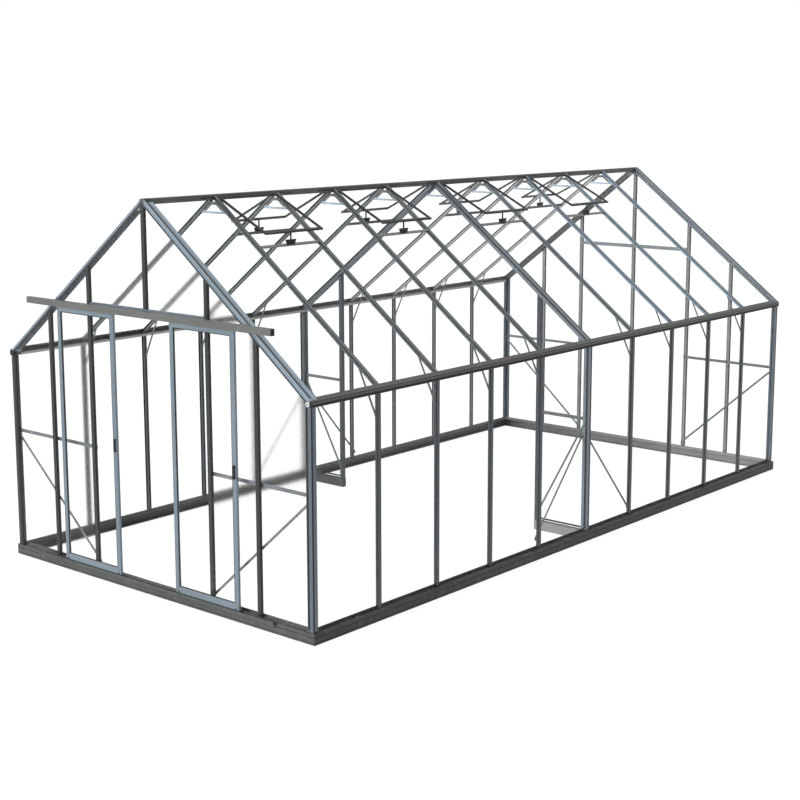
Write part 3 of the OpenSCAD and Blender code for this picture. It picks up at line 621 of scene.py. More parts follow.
class GREENHOUSE_OT_metal(bpy.types.Operator):
    """Coats the base, bars, beams, track, braces, vents and door frames"""
    bl_idname = "greenhouse.metal"
    bl_label = "Coat the metal"

    def execute(self, context):
        shade = colours()
        down_right = np.array([math.cos(SLOPE), 0.0, -math.sin(SLOPE)])
        down_left = down_right * [1, 1, -1]
        tie = low("ridge_ties")[2]
        # Roughness, metal and dirt of each grade.
        base, bar, post = (0.5, 0.2, 0.4), (0.36, 0.35, 0.6), (0.34, 0.4, 0.6)
        stud, rear_stud, verge = (0.36, 0.05, 0.6), (0.36, 0.3, 0.6), (0.34, 0.3, 0.6)
        beam, track, brace = (0.42, 0.25, 0.6), (0.42, 0.5, 0.4), (0.40, 0.4, 0.5)
        tie_bar, door, vent = (0.40, 0.3, 0.3), (0.34, 0.4, 0.5), (0.40, 0.0, 0.4)
        # Finish, colour, way of the die lines, grade, painted light drift and nodes. Each drift,
        # and each lighter or darker copy of a coat, is painted light and shade.
        coats = [
            # Painted light and shade: the base rails turn darker toward the left front corner and
            # lighter toward the rear and the right.
            ("base_coat_rear", shade.base_left, ALONG_X, base,
             (shade.base_far_painted_light, ALONG_X, -1.5, 1.5), ["base_rear"]),
            ("partition_coat", shade.base_end_painted_shade, ALONG_X, base,
             (shade.base_far_painted_light, ALONG_X, -1.2, 1.8), ["partition_bases"]),
            ("base_coat_front", shade.base_end_painted_shade, ALONG_X, base,
             (shade.base, ALONG_X, -1.6, 0.4), ["base_front", "door_guide"]),
            # Painted shade: the right-hand rail takes a darker copy of the base coat.
            ("base_coat_right", shade.base_right, ALONG_Y, (0.5, 0.2, 0.5), None, ["base_right"]),
            ("base_coat_left", shade.base_end_painted_shade, ALONG_Y, base,
             (shade.base_left, ALONG_Y, -3.0, -0.5), ["base_left"]),
            ("bar_coat", shade.bars, UP, bar, None, ["right_wall_bars", "partition_posts"]),
            # Painted light: the left wall bars turn lighter toward the rear.
            ("left_bar_coat", shade.bars, UP, bar,
             (shade.far_bars_painted_light, ALONG_Y, -1.5, 2.0), ["left_wall_bars"]),
            ("stud_coat", shade.studs, UP, stud, None, ["front_gable_studs"]),
            # Painted light: the rear gable's studs take a lighter copy of the studs' coat.
            ("rear_stud_coat", shade.rear_studs_painted_light, UP, rear_stud, None, ["rear_gable_studs"]),
            # Painted light and shade: the corner posts turn from dark at the left front to
            # steel-blue at the right.
            ("corner_coat", shade.left_corners_painted_shade, UP, post,
             (shade.corners, (1.0, 0.35, 0.0), -2.7, 0.3), ["corner_posts"]),
            # Painted light and shade: the middle frame turns from darker on the left to lighter on
            # the right.
            ("middle_coat", shade.left_middle_painted_shade, UP, post,
             (shade.middle, ALONG_X, -1.0, 1.0), ["mid_posts", "mid_rafters"]),
            ("head_coat", shade.head, ALONG_X, bar, None, ["door_head"]),
            ("rail_coat", shade.rail, ALONG_X, bar, None, ["rear_gable_rail"]),
            # Painted reflection: the right roof bars turn sky-blue toward the rear. Painted light:
            # the left ones turn paler toward the rear.
            ("roof_coat_right", shade.roof, down_right, bar,
             (shade.far_roof_painted_reflection, ALONG_Y, 0.2, 1.6), ["right_roof_bars"]),
            ("roof_coat_left", shade.roof, down_left, bar,
             (shade.far_left_roof_painted_light, ALONG_Y, -1.0, 2.0), ["left_roof_bars"]),
            ("verge_coat", shade.verges, UP, verge, None, ["front_gable_rafters"]),
            # Painted light and shade: the rear gable's left rafter is dark and its right one
            # lighter.
            ("rear_verge_coat", shade.left_verges_painted_shade, UP, verge,
             (shade.rear_verges_painted_light, ALONG_X, -0.1, 0.1), ["rear_gable_rafters"]),
            ("beam_coat", shade.beams, ALONG_Y, beam, None, ["right_eave_beam", "ridge_beam"]),
            # Painted light and shade: the left eave beam turns from darker at the front to lighter
            # at the rear.
            ("left_beam_coat", shade.front_beams_painted_shade, ALONG_Y, beam,
             (shade.rear_beams_painted_light, ALONG_Y, -3.0, 1.0), ["left_eave_beam"]),
            ("track_coat", shade.track, ALONG_X, track, None, ["door_track"]),
            ("brace_coat", shade.braces, ALONG_X, brace, None,
             ["front_gable_braces", "rear_gable_braces", "wall_braces", "partition_braces",
              "knee_braces"]),
            # Painted light: the ridge ties are light blue on their lower bars and grey above.
            ("tie_coat", shade.ties, ALONG_X, tie_bar,
             (shade.upper_ties, UP, tie + 20 * MM, tie + 23 * MM), ["ridge_ties"]),
            ("door_coat", shade.doors, UP, door, None, ["left_door_frame", "right_door_frame"]),
            ("vent_coat", shade.vents, ALONG_Y, vent, None,
             ["left_vent_frames", "right_vent_frames"]),
            # Painted light and shade: the left sills are dark and the right ones pale.
            ("sill_coat", shade.left_sills_painted_shade, ALONG_Y, (0.40, 0.2, 0.4),
             (shade.sills, ALONG_X, -0.1, 0.1), ["vent_sills"]),
        ]
        for name, colour, along, grade, painted_light_drift, nodes in coats:
            FINISHES[name] = coated(name, colour, along, *grade, painted_light_drift)
            dress(nodes, name)
        # Painted highlight: the pale strips inside the eave beams.
        FINISHES["highlight_liner_coat"] = coated("highlight_liner_coat", shade.liners, ALONG_Y, 0.4, 0.3, 0.4)
        FINISHES["zinc"] = plated("zinc", (0.55, 0.56, 0.57), roughness=0.28)
        FINISHES["dark_zinc"] = plated("dark_zinc", (0.16, 0.165, 0.17), roughness=0.34)
        return {"FINISHED"}


class GREENHOUSE_OT_plastic(bpy.types.Operator):
    """Gives the handles, stays and end caps their moulded finish"""
    bl_idname = "greenhouse.plastic"
    bl_label = "Mould the plastic"

    def execute(self, context):
        shade = colours()
        for name, colour, roughness, grain in (
                ("plastic", shade.plastic, 0.5, 1600.0), ("rubber", shade.rubber, 0.62, 2200.0),
                # The bluish rubber of the door brushes, partly painted shade under the doors'
                # bottom rails.
                ("blue_rubber", (0.035, 0.075, 0.095), 0.55, 2200.0),
                # Painted shade: the finish of the dark strips laid where caps and verges are in
                # shade.
                ("painted_shade_strip", shade.strips, 0.5, 1200.0),
                # Painted highlight: the white of the verge plug and of the pale verge trim.
                ("highlight_white", (0.72, 0.74, 0.75), 0.45, 1600.0)):
            FINISHES[name] = moulded(name, tuple(colour), roughness, grain)
        dress(["track_end_caps", "vent_stays", "left_door_handle", "right_door_handle"], "plastic")
        return {"FINISHED"}


class GREENHOUSE_OT_glaze(bpy.types.Operator):
    """Glazes walls, roof, vents and doors with clear sheet and the door gable with frosted"""
    bl_idname = "greenhouse.glaze"
    bl_label = "Glaze the panels"

    def execute(self, context):
        shade = colours()
        film, warm = tuple(shade.panel), tuple(shade.panel_low)
        for name, haze, blur in (("clear_sheet", 0.004, 0.0), ("frosted_sheet", 0.002, 0.135)):
            FINISHES[name] = clear_sheet(name, film, warm, haze, blur)
        dress(["left_door_pane", "right_door_pane", "wall_panes", "roof_panes",
               "rear_gable_panes", "vent_panes"], "clear_sheet")
        dress(["front_gable_panes"], "frosted_sheet")
        return {"FINISHED"}


def seal():
    """Outline of a rubber seal."""
    size = fixings()
    return pillow(size.seal_width, size.seal_depth, size.seal_depth * 0.45)


def seal_lines(middle_frame):
    """Places along the house of the seals on both sides of each bar and of the middle frame."""
    half, mid = fixings().seal_width / 2, spans(middle_frame, 1)[0]
    off = CAP_HALF + half
    return np.r_[BAR_Y - off, BAR_Y + off, mid[0] - half, mid[1] + half]


class GREENHOUSE_OT_wall_seals(bpy.types.Operator):
    """Lays a rubber seal beside each cap of the long walls and the gables"""
    bl_idname = "greenhouse.wall_seals"
    bl_label = "Wall seals"

    def execute(self, context):
        size = fixings()
        stand = size.seal_depth / 2 + HAIR
        foot, head = BASE_TOP + 4 * MM, EAVE_LOW - 2 * MM
        starts = mirrored(grid(PANE_OUT + stand, seal_lines("mid_posts"), foot))
        walls = carried(seal(), starts, starts * [1, 1, 0] + UP * head, ALONG_Y)
        piece("wall_seals", [walls], "rubber")
        off = CAP_HALF + size.seal_width / 2
        x = np.r_[STUD_X - off, STUD_X + off]
        top = roof_height(x, VERGE_TOP) - VERGE_DROP - 6 * MM
        over_doors = np.where(np.abs(x) < abs(STUD_X[1]), high("door_head")[2] + 4 * MM, foot)
        for name, y, bottom in (("front", STUD_FACE + SHEET_SET - stand, over_doors),
                                ("rear", REAR_FACE - SHEET_SET + stand, foot)):
            seals = carried(seal(), beside(x, y, bottom), beside(x, y, top), ALONG_X)
            piece(name + "_gable_seals", [seals], "rubber")
        return {"FINISHED"}


class GREENHOUSE_OT_roof_seals(bpy.types.Operator):
    """Lays a rubber seal on both sides of each roof bar, stopping below the vents"""
    bl_idname = "greenhouse.roof_seals"
    bl_label = "Roof seals"

    def execute(self, context):
        y = seal_lines("mid_rafters")
        face = ROOF_TOP - (SHEET_SET - fixings().seal_depth / 2 - 2 * HAIR) / math.cos(SLOPE)
        lower = high("roof_panes")[0] - 2 * MM
        parts = []
        for side, vents in ((1, "right_vent_frames"), (-1, "left_vent_frames")):
            holes = spans(vents, 1, 0.3)
            vented = ((y[:, None] > holes[:, 0]) & (y[:, None] < holes[:, 1])).any(1)
            upper = np.where(vented, high("vent_sills")[0] + 4 * MM, RIDGE_HALF + 3 * MM)
            starts, ends = [beside(side * x, y, roof_height(x, face)) for x in (lower, upper)]
            parts.append(carried(seal(), starts, ends, ALONG_Y))
        piece("roof_seals", parts, "rubber")
        return {"FINISHED"}


class GREENHOUSE_OT_post_seals(bpy.types.Operator):
    """Fills the grooves on both outer faces of each corner post with a dark rubber strip, which
    also paints the grooves' shade
    """
    bl_idname = "greenhouse.post_seals"
    bl_label = "Post seals"

    def execute(self, context):
        foot, rise = BASE_TOP + 2 * MM, UP * (EAVE_LOW - BASE_TOP - 5 * MM)
        gables = grid(POST_OUT - 36.5 * MM, [STUD_FACE + 0.8 * MM, POST_REAR - 1.9 * MM], foot)
        walls = grid(POST_OUT - 1.9 * MM, [STUD_FACE + 9.5 * MM, POST_REAR - 9.5 * MM], foot)
        # Partly painted shade: the rubber strips darken the grooves as their shade would.
        parts = [carried(MM * pillow(17, 1.8, 0.8), starts, starts + rise, way)
                 for starts, way in ((mirrored(gables), ALONG_X), (mirrored(walls), ALONG_Y))]
        piece("post_seals", parts, "rubber")
        return {"FINISHED"}


class GREENHOUSE_OT_verge_seals(bpy.types.Operator):
    """Lays dark strips, painted shade, on the faces and upper edges of the gable rafters. The left
    front rafter has a broad one, painted shade of its lower part, with a rubber cord and a pale
    trim, a painted highlight along its upper edge"""
    bl_idname = "greenhouse.verge_seals"
    bl_label = "Verge seals"

    def execute(self, context):
        deep = VERGE_DROP * math.cos(SLOPE)
        broad = deep * 0.40
        front, rear = STUD_FACE - HAIR, REAR_VERGE + HAIR
        strips, cords, highlight_trims = [], [], []
        for side in (1.0, -1.0):
            out = np.array([side * math.sin(SLOPE), 0, math.cos(SLOPE)])
            run = [grid(side * x, 0, roof_height(x, VERGE_TOP))
                   for x in (RIDGE_HALF + 6 * MM, POST_OUT - 8 * MM)]

            def laid(outline, y, drop, way=out):
                """A strip along the rafter in the plane y, drop below its upper edge."""
                return carried(outline, *[spot + [0, y, 0] - out * drop for spot in run], way)

            # Painted shade: narrow dark strips along the rafters' faces where their grooves are in
            # shade.
            narrow = MM * pillow(13, 1.4, 0.6)
            strips.append(laid(narrow, rear, deep - 4 * MM))
            if side > 0:
                strips.append(laid(narrow, front, deep - 4 * MM))
            else:
                # Painted shade: a broad dark strip over the lower part of the left front rafter's
                # face.
                wide = pillow(broad, 1.4 * MM, 0.6 * MM)
                strips.append(laid(wide, front, deep - broad / 2))
                cords.append(laid(MM * pillow(8, 1.2, 0.5), front - 0.6 * MM,
                                  deep - broad + 4 * MM))
                # Painted highlight: a pale trim along the upper edge of the left front rafter's
                # face.
                highlight_trims.append(laid(MM * pillow(8.5, 1.4, 0.6), front, 4.5 * MM))
            # Painted shade: dark strips on the rafters' upper edges.
            for y, width in ((STUD_FACE + 11 * MM, 17), (rear - 14 * MM, 9)):
                strips.append(laid(MM * pillow(width, 1.2, 0.5), y, -HAIR, ALONG_Y))
        piece("verge_seals", strips, "painted_shade_strip")
        piece("verge_highlight_trim", highlight_trims, "highlight_white")
        piece("verge_cords", cords, "rubber")
        return {"FINISHED"}


class GREENHOUSE_OT_mid_seals(bpy.types.Operator):
    """Lays dark strips, painted shade, along the edges of the caps of the middle frame and the
    roof bars
    """
    bl_idname = "greenhouse.mid_seals"
    bl_label = "Cap strips"

    def execute(self, context):
        cap = spans("mid_posts", 1)[0]
        wide = np.ptp(cap) * 0.28
        broad, thin = pillow(wide, 1.4 * MM, 0.6 * MM), MM * pillow(5, 1.2, 0.5)
        edges, inset = cap + [wide / 2, -wide / 2], CAP_HALF - 2.5 * MM
        starts = mirrored(grid(high("mid_posts")[0], edges, BASE_TOP + 3 * MM))
        parts = [carried(broad, starts, starts * [1, 1, 0] + UP * (EAVE_LOW - 2 * MM), ALONG_Y)]
        near, far = RIDGE_HALF + 3 * MM, high("right_roof_bars")[0] - 4 * MM
        for outline, y in ((broad, edges), (thin, np.r_[BAR_Y - inset, BAR_Y + inset])):
            starts, ends = [mirrored(grid(x, y, roof_height(x, ROOF_TOP))) for x in (near, far)]
            parts.append(carried(outline, starts, ends, ALONG_Y))
        piece("mid_seals", parts, "painted_shade_strip")
        return {"FINISHED"}


class GREENHOUSE_OT_liners(bpy.types.Operator):
    """Lays dark liners under the gable rafters, painted shade of their undersides, and pale strips
    inside the eave beams, a painted highlight low on their inner faces
    """
    bl_idname = "greenhouse.liners"
    bl_label = "Liners"

    def execute(self, context):
        # Painted shade: dark liners under the gable rafters.
        width = VERGE_BACK - STUD_FACE - 2 * MM
        inset = width / 2 + 1 * MM
        y, under = [STUD_FACE + inset, REAR_VERGE - inset], VERGE_TOP - VERGE_DROP - HAIR
        starts, ends = [mirrored(grid(x, y, roof_height(x, under)))
                        for x in (RIDGE_HALF + 40 * MM, POST_OUT - 62 * MM)]
        piece("verge_shade_liners", [carried(pillow(width, 1.2 * MM, 0.5 * MM), starts, ends, ALONG_Y)],
              "painted_shade_strip")
        # Painted highlight: pale strips low on the inner faces of the eave beams.
        starts, ends = [mirrored(grid(EAVE_IN, y, EAVE_LOW + 10 * MM))
                        for y in (EAVE_FRONT + 66 * MM, EAVE_REAR - 66 * MM)]
        piece("eave_highlight_strips", [carried(MM * pillow(19, 1.4, 0.6), starts, ends, UP)],
              "highlight_liner_coat")
        return {"FINISHED"}


class GREENHOUSE_OT_base_lines(bpy.types.Operator):
    """Fills the grooves round the base with rubber lines, and lays flat ones on the partition
    bases and inside the rear upstand"""
    bl_idname = "greenhouse.base_lines"
    bl_label = "Base lines"

    def execute(self, context):
        line, grooves = MM * pillow(2.6, 0.9, 0.3), np.array([14.5, 52.5]) * MM
        side, rim = high("base_right")[0] - 0.6 * MM, high("base_rear")[2]
        ends = [FRONT + 0.6 * MM, high("base_rear")[1] - 0.6 * MM]
        sides = [mirrored(grid(side, y, grooves)) for y in ends]
        gables = grid(-side, ends, grooves)
        parts = [carried(line, *sides, UP), carried(line, gables, gables * [-1, 1, 1], UP)]
        near, far = low("partition_bases")[1], high("partition_bases")[1]
        tops = [mirrored(grid(x, (near + far) / 2, BASE_TOP + 0.2 * MM)) for x in
                (high("partition_posts")[0] + 2 * MM, high("partition_bases")[0] - 2 * MM)]
        parts.append(carried(pillow(far - near - 2 * MM, 1 * MM, 0.4 * MM), *tops, ALONG_Y))
        upstand = points("base_rear")
        inner = upstand[upstand[:, 2] > rim - HAIR][:, 1].min() - 0.3 * MM
        start = grid(50 * MM - side, inner, (rim + BASE_TOP) / 2)
        parts.append(carried(pillow(rim - BASE_TOP - 2 * MM, 1 * MM, 0.4 * MM), start,
                             start * [-1, 1, 1], UP))
        piece("base_lines", parts, "rubber")
        return {"FINISHED"}


class GREENHOUSE_OT_eave_strips(bpy.types.Operator):
    """Lays a broad and a narrow dark strip, painted shade, along the outside of the right eave beam
    """
    bl_idname = "greenhouse.eave_strips"
    bl_label = "Eave strips"

    def execute(self, context):
        parts = []
        # Painted shade: a broad dark band along the beam's lower edge and a thin shadow line under
        # its gutter lip, in the rubber finish.
        for width, level in ((17, 11), (3, 36)):
            start, end = [grid(EAVE_OUT, y, EAVE_LOW + level * MM)
                          for y in (EAVE_FRONT + 1 * MM, EAVE_REAR - 1 * MM)]
            parts.append(carried(MM * pillow(width, 1.2, 0.5), start, end, UP))
        piece("eave_strips", parts, "rubber")
        return {"FINISHED"}


class GREENHOUSE_OT_plugs(bpy.types.Operator):
    """Caps the foot of the right verge with a round plug, whose white is a painted highlight, the
    eave beams with end caps and the door gable's top with a saddle"""
    bl_idname = "greenhouse.plugs"
    bl_label = "Plugs and caps"

    def execute(self, context):
        r = fixings().plug_radius
        dish = np.array([[r, 0], [r, 1.6 * MM], [r * 0.86, 3.0 * MM], [r * 0.55, 3.3 * MM],
                         [r * 0.5, 2.2 * MM], [r * 0.2, 2.0 * MM]])
        hub = np.array([[r * 0.42, 2.2 * MM], [r * 0.40, 3.2 * MM], [r * 0.1, 3.6 * MM]])
        spot = grid(POST_OUT - 26 * MM, STUD_FACE, EAVE_LOW + 19 * MM)
        # Painted highlight: the plug's white stands in for a glint at the verge's foot.
        piece("verge_plug", [turned(dish, spot, -ALONG_Y, 28)], "highlight_white")
        piece("verge_plug_hub", [turned(hub, spot, -ALONG_Y, 20)], "dark_zinc")
        thick, broad, slim = 2.4 * MM, 47 * MM, 14 * MM
        caps = []
        for side, y, width in ((-1, EAVE_FRONT - thick, broad), (1, EAVE_FRONT - thick, slim),
                               (-1, EAVE_REAR, broad), (1, EAVE_REAR, broad)):
            start = grid(side * (EAVE_OUT - width / 2), y, EAVE_LOW + 21 * MM)
            caps.append(carried(pillow(width, 38 * MM, 2.5 * MM), start,
                                start + ALONG_Y * thick, ALONG_X))
        piece("eave_end_caps", caps, "plastic")
        half, lift = 45 * MM, 1.2 * MM
        edge, bend, top = roof_height(half, VERGE_TOP) + lift, VERGE_TOP + lift, RIDGE_TOP
        roof = np.array([[-half, edge - 3 * MM], [half, edge - 3 * MM], [half, edge],
                         [RIDGE_HALF, bend], [0, top - 2 * HAIR], [-RIDGE_HALF, bend],
                         [-half, edge]]) * [1, -1]
        piece("apex_saddle", [carried(roof, ALONG_Y * (STUD_FACE + 2 * MM), ALONG_Y * VERGE_BACK,
                                      ALONG_X)], "plastic")
        return {"FINISHED"}


class GREENHOUSE_OT_frame_bolts(bpy.types.Operator):
    """Bolts the bars to base and eaves, and the braces to the bars they cross"""
    bl_idname = "greenhouse.frame_bolts"
    bl_label = "Frame bolts"

    def execute(self, context):
        size = fixings()
        foot = BASE_TOP + 16 * MM
        bars = mirrored(grid(BAR_IN, BAR_Y, [foot, EAVE_LOW - 20 * MM]))
        to_floor = STUD_X[np.abs(STUD_X) > 0.1]
        edge, brace_back, level = high("front_gable_braces") - [14 * MM, 0, 13 * MM]
        x = [edge, STUD_X[-1], STUD_X[-2]]
        rows = ((bars, bars * [-1, 0, 0]),
                (grid(to_floor, STUD_BACK, foot), ALONG_Y),
                (grid(STUD_X, low("rear_gable_studs")[1], foot), -ALONG_Y),
                (mirrored(grid(x, brace_back, level)), ALONG_Y),
                (mirrored(grid(x, low("rear_gable_braces")[1], level)), -ALONG_Y))
        head = nut(size.bolt_radius, size.bolt_height)
        piece("frame_bolts", [turned(head, spots, way, 6) for spots, way in rows], "dark_zinc")
        knees, ties = spans("knee_braces", 1), spans("ridge_ties", 1)
        x, z = high("ridge_ties")[0] - 14 * MM, low("ridge_ties")[2] + 7 * MM
        rows = ((grid(BAR_IN - 12 * MM, knees[:, 1], low("knee_braces")[2] + 12 * MM), ALONG_Y),
                (grid(x, ties[:, 1], z), ALONG_Y), (grid(x, ties[:, 0], z), -ALONG_Y))
        head = bolt(size.screw_radius * 1.2, size.screw_radius * 0.7)
        piece("brace_screws", [turned(head, mirrored(spots), way, 10) for spots, way in rows],
              "zinc")
        return {"FINISHED"}


class GREENHOUSE_OT_track_fittings(bpy.types.Operator):
    """Puts a screw into each lug of the door track"""
    bl_idname = "greenhouse.track_fittings"
    bl_label = "Track fittings"

    def execute(self, context):
        head = bolt(fixings().screw_radius, fixings().screw_radius * 0.6)
        spots = points("door_track")
        back, top = spots[:, 1].max(), spots[:, 2].max()
        lugs = np.unique(spots[spots[:, 1] > back - HAIR][:, 0].round(4)).reshape(-1, 2)
        screws = grid(lugs.mean(1), back - 9 * MM, top)
        piece("track_screws", [turned(head, screws, UP, 10)], "zinc")
        return {"FINISHED"}


def door_foot(door):
    """The brush under a door and the two shoes in front of its lower edge."""
    lower, upper = low(door + "_frame"), high(door + "_frame")
    middle = (low(door + "_pane")[1] + high(door + "_pane")[1]) / 2
    start, end = [grid(x, middle, lower[2] - 3.5 * MM)
                  for x in (lower[0] + 2 * MM, upper[0] - 2 * MM)]
    # The brush's dark bluish colour is partly its own and partly painted shade under the bottom
    # rail.
    piece(door + "_seal", [carried(MM * pillow(11, 9, 2), start, end, ALONG_Y)], "blue_rubber",
          door)
    feet = grid([lower[0] + 30 * MM, upper[0] - 30 * MM], lower[1] - 1.8 * MM,
                lower[2] + 4 * MM)
    piece(door + "_shoes", [carried(MM * pillow(16, 9, 2.5), feet, feet + ALONG_Y * 2.4 * MM,
                                    ALONG_X)], "plastic", door)


def door_face(door):
    """The screws at a door's corners and the fine ribs down its uprights."""
    lower, upper = low(door + "_frame"), high(door + "_frame")
    pane_low, pane_high = low(door + "_pane"), high(door + "_pane")
    head = bolt(fixings().screw_radius, fixings().screw_radius * 0.55)
    z = [pane_low[2] - 20 * MM, pane_low[2] - 2 * MM, pane_high[2] + 12 * MM]
    screws = grid([lower[0] + 18 * MM, upper[0] - 18 * MM], lower[1], z)
    piece(door + "_screws", [turned(head, screws, -ALONG_Y, 10)], "dark_zinc", door)
    edge, pair = (pane_low[0] - lower[0]) / 2, np.array([-9, 9]) * MM
    feet = grid(np.r_[lower[0] + edge + pair, upper[0] - edge + pair], lower[1] + HAIR,
                pane_low[2] - 30 * MM)
    tops = feet * [1, 1, 0] + UP * (pane_high[2] + 20 * MM)
    piece(door + "_ribs", [carried(MM * pillow(2.2, 1.2, 0.5), feet, tops, ALONG_X)],
          "door_coat", door)


def door_gasket(door):
    """The rubber that lines the opening of a door's frame in front of its pane."""
    lower, upper = low(door + "_frame"), high(door + "_frame")
    rim = points(door + "_frame")
    rim = rim[(rim[:, 1] < lower[1] + HAIR) & (rim[:, 0] > lower[0] + 5 * MM)
              & (rim[:, 0] < upper[0] - 5 * MM)]
    (left, _, bottom), (right, _, head) = rim.min(0), rim.max(0)
    outline, y, half = MM * pillow(6, 5.2, 1), low(door + "_pane")[1] - 2.6 * MM, 3 * MM
    sides = grid([left + half, right - half], y, bottom)
    rows = grid(left + 2 * half, y, [bottom + half, head - half])
    piece(door + "_gasket",
          [carried(outline, sides, sides * [1, 1, 0] + UP * head, ALONG_X),
           carried(outline, rows, rows * [0, 1, 1] + ALONG_X * (right - 2 * half), UP)],
          "rubber", door)


def handle_screws(door):
    """The screws at both ends of a door's grip."""
    lower, upper = low(door + "_handle"), high(door + "_handle")
    x, _, z = (lower + upper) / 2
    reach = upper[2] - z - 6 * MM
    screws = grid(x, lower[1] + 1.1 * MM, [z - reach, z + reach])
    head = bolt(fixings().screw_radius, 1.0 * MM)
    piece(door.replace("door", "handle") + "_screws", [turned(head, screws, -ALONG_Y, 10)],
          "dark_zinc", door)


class GREENHOUSE_OT_door_fittings(bpy.types.Operator):
    """Adds to each door its brush, shoes, screws, ribs and gasket and its grip's screws"""
    bl_idname = "greenhouse.door_fittings"
    bl_label = "Door fittings"

    def execute(self, context):
        for door in ("left_door", "right_door"):
            for fit in (door_foot, door_face, door_gasket, handle_screws):
                fit(door)
        return {"FINISHED"}


class GREENHOUSE_OT_vent_fittings(bpy.types.Operator):
    """Adds hinge rolls along the ridge and corner screws to the roof vents"""
    bl_idname = "greenhouse.vent_fittings"
    bl_label = "Vent fittings"

    def execute(self, context):
        head = bolt(fixings().screw_radius, fixings().screw_radius * 0.55)
        roll = 3.4 * MM
        for side, sign in (("left", -1), ("right", 1)):
            spots, ends = points(side + "_vent_frames"), spans(side + "_vent_frames", 1)
            down = np.array([sign * math.cos(LEAN), 0, -math.sin(LEAN)])
            out = np.array([sign * math.sin(LEAN), 0, math.cos(LEAN)])
            ridge = spots[spots[:, 2].argmax()] * [1, 0, 1]
            length = (spots[spots[:, 2].argmin()] - ridge) @ down
            corners = ridge + grid(0, np.r_[ends[:, 0] + 9 * MM, ends[:, 1] - 9 * MM], 0)
            screws = np.concatenate([corners + down * step
                                     for step in (12 * MM, length - 11 * MM)])
            piece(side + "_vent_screws", [turned(head, screws, out, 10)], "dark_zinc")
            starts = np.r_[ends[:, 0] + 60 * MM, ends[:, 1] - 170 * MM]
            hinges = ridge + grid(0, starts, 0) - out * 3 * MM
            piece(side + "_vent_hinges", [turned([[roll, 0], [roll, 110 * MM]], hinges, ALONG_Y,
                                                 14)], "vent_coat")
        return {"FINISHED"}


def looking(back, roll, place):
    """A placement whose -Z axis looks against back, rolled about it, with X level before that."""
    right = np.cross(UP, back)
    right = right / np.linalg.norm(right)
    up = np.cross(back, right)
    turn = np.eye(4)
    turn[:3, 0] = right * math.cos(roll) + up * math.sin(roll)
    turn[:3, 1] = up * math.cos(roll) - right * math.sin(roll)
    turn[:3, 2], turn[:3, 3] = back, place
    return Matrix(turn.tolist())


def placed(name, data, matrix):
    """An object of the stage in its place."""
    made = bpy.data.objects.new(name, data)
    made.matrix_world = matrix
    bpy.context.scene.collection.objects.link(made)
    return made


def lay_floor(colour):
    """A level sheet just under the house. The camera and mirror-like rays see it almost white,
    and all other light meets its paint."""
    mesh = bpy.data.meshes.new("floor")
    edge = np.linspace(-60.0, 60.0, 3)
    spots = np.column_stack([grid(edge, edge), np.full(9, -0.5 * MM)])
    mesh.from_pydata(spots.tolist(), [], [[0, 3, 4, 1], [1, 4, 5, 2], [3, 6, 7, 4],
                                          [4, 7, 8, 5]])
    floor = placed("floor", mesh, Matrix())
    kit = new_finish("floor_paint")
    glow_strength, glow_share = 1.22, 0.68
    paint = kit.out("ShaderNodeBsdfDiffuse", {}, {"Color": tuple(colour)})
    glow = kit.out("ShaderNodeEmission", {}, {"Color": WHITE, "Strength": glow_strength})
    seen = kit.rays("Camera", "Glossy", "Transmission")
    mesh.materials.append(kit.done(kit.out("ShaderNodeMixShader", {}, {
        0: seen * glow_share, 1: paint, 2: glow})))


def light_sky(strength):
    """An even pale sky that the camera and mirror-like rays see white."""
    sky = Finish(bpy.data.worlds.new("studio_sky"))
    even = sky.out("ShaderNodeBackground", {}, {"Color": WHITE, "Strength": strength})
    white = sky.out("ShaderNodeBackground", {}, {
        "Color": WHITE, "Strength": 1.0 - sky.rays("Glossy") * 0.2})
    mixed = sky.out("ShaderNodeMixShader", {}, {
        0: sky.rays("Camera", "Glossy", "Transmission"), 1: even, 2: white})
    return sky.done(mixed, "ShaderNodeOutputWorld")


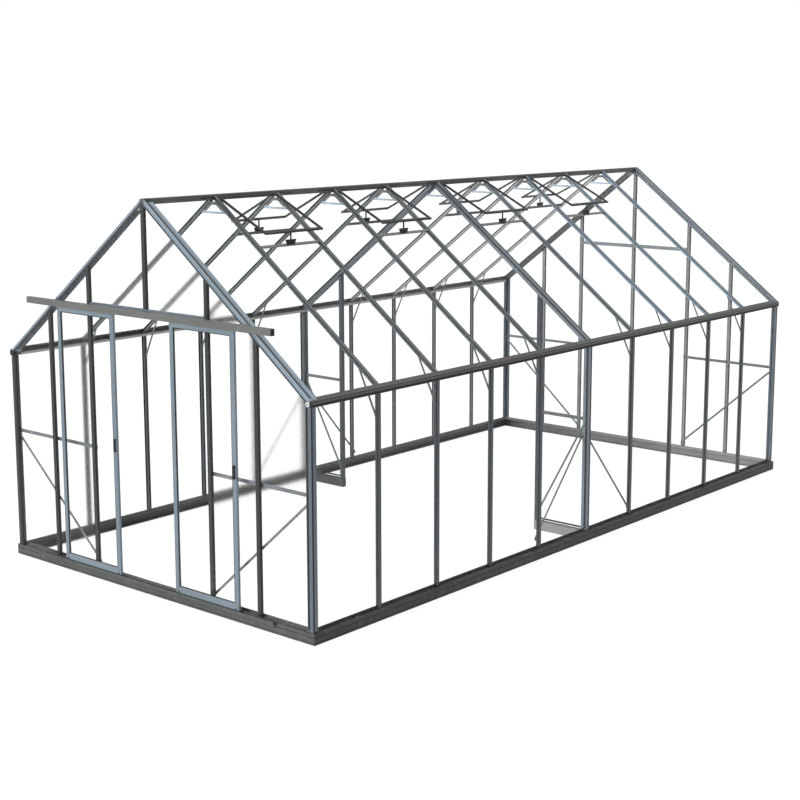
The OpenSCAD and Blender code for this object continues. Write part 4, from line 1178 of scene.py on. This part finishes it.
class GREENHOUSE_OT_stage(bpy.types.Operator):
    """Lays the floor and sets the lights and the camera"""
    bl_idname = "greenhouse.stage"
    bl_label = "Set the stage"

    def execute(self, context):
        set_up, scene = studio(), context.scene
        lay_floor(set_up.floor)
        scene.world = light_sky(set_up.sky)
        for name, power, spread, aim in (("key_lamp", set_up.key, 50.0, (-0.34, -0.82, 0.46)),
                                         ("fill_lamp", set_up.fill, 90.0, (0.35, 0.10, 0.93))):
            lamp = bpy.data.lights.new(name, "SUN")
            lamp.energy, lamp.angle = power, math.radians(spread)
            placed(name, lamp, looking(np.array(aim) / np.linalg.norm(aim), 0.0, UP * 6))
        camera = bpy.data.cameras.new("camera")
        camera.lens, camera.sensor_width, camera.shift_y = set_up.lens, 36.0, -0.0475
        camera.clip_end = 200.0
        turn, rise = set_up.turn, set_up.rise
        back = np.array([math.sin(turn) * math.cos(rise), -math.cos(turn) * math.cos(rise),
                         math.sin(rise)])
        scene.camera = placed("camera", camera, looking(back, CAMERA_ROLL, CAMERA_PLACE))
        scene.view_settings.view_transform = "Standard"
        scene.cycles.transparent_max_bounces = 40
        return {"FINISHED"}


STEPS = [GREENHOUSE_OT_metal, GREENHOUSE_OT_plastic, GREENHOUSE_OT_glaze,
         GREENHOUSE_OT_wall_seals, GREENHOUSE_OT_roof_seals, GREENHOUSE_OT_post_seals,
         GREENHOUSE_OT_verge_seals, GREENHOUSE_OT_mid_seals, GREENHOUSE_OT_liners,
         GREENHOUSE_OT_base_lines, GREENHOUSE_OT_eave_strips, GREENHOUSE_OT_plugs,
         GREENHOUSE_OT_frame_bolts, GREENHOUSE_OT_track_fittings, GREENHOUSE_OT_door_fittings,
         GREENHOUSE_OT_vent_fittings, GREENHOUSE_OT_stage]


class GREENHOUSE_PT_panel(bpy.types.Panel):
    """Lists the steps and their settings"""
    bl_idname = "GREENHOUSE_PT_panel"
    bl_label = "Greenhouse"
    bl_space_type = "VIEW_3D"
    bl_region_type = "UI"
    bl_category = "Greenhouse"

    def draw(self, context):
        for step in STEPS:
            self.layout.operator(step.bl_idname)
        for group in (colours(), fixings(), studio()):
            box = self.layout.box()
            for name in group.__annotations__:
                box.prop(group, name)


GROUPS = {"greenhouse_colours": GreenhouseColours, "greenhouse_fixings": GreenhouseFixings,
          "greenhouse_studio": GreenhouseStudio}


def register():
    for group in (*GROUPS.values(), *STEPS, GREENHOUSE_PT_panel):
        bpy.utils.register_class(group)
    for name, group in GROUPS.items():
        setattr(bpy.types.Scene, name, bpy.props.PointerProperty(type=group))


def unregister():
    for name in GROUPS:
        delattr(bpy.types.Scene, name)
    for group in reversed((*GROUPS.values(), *STEPS, GREENHOUSE_PT_panel)):
        bpy.utils.unregister_class(group)


def main():
    register()
    for step in STEPS:
        family, name = step.bl_idname.split(".")
        getattr(getattr(bpy.ops, family), name)()
    bpy.context.view_layer.update()


if __name__ == "__main__":
    main()
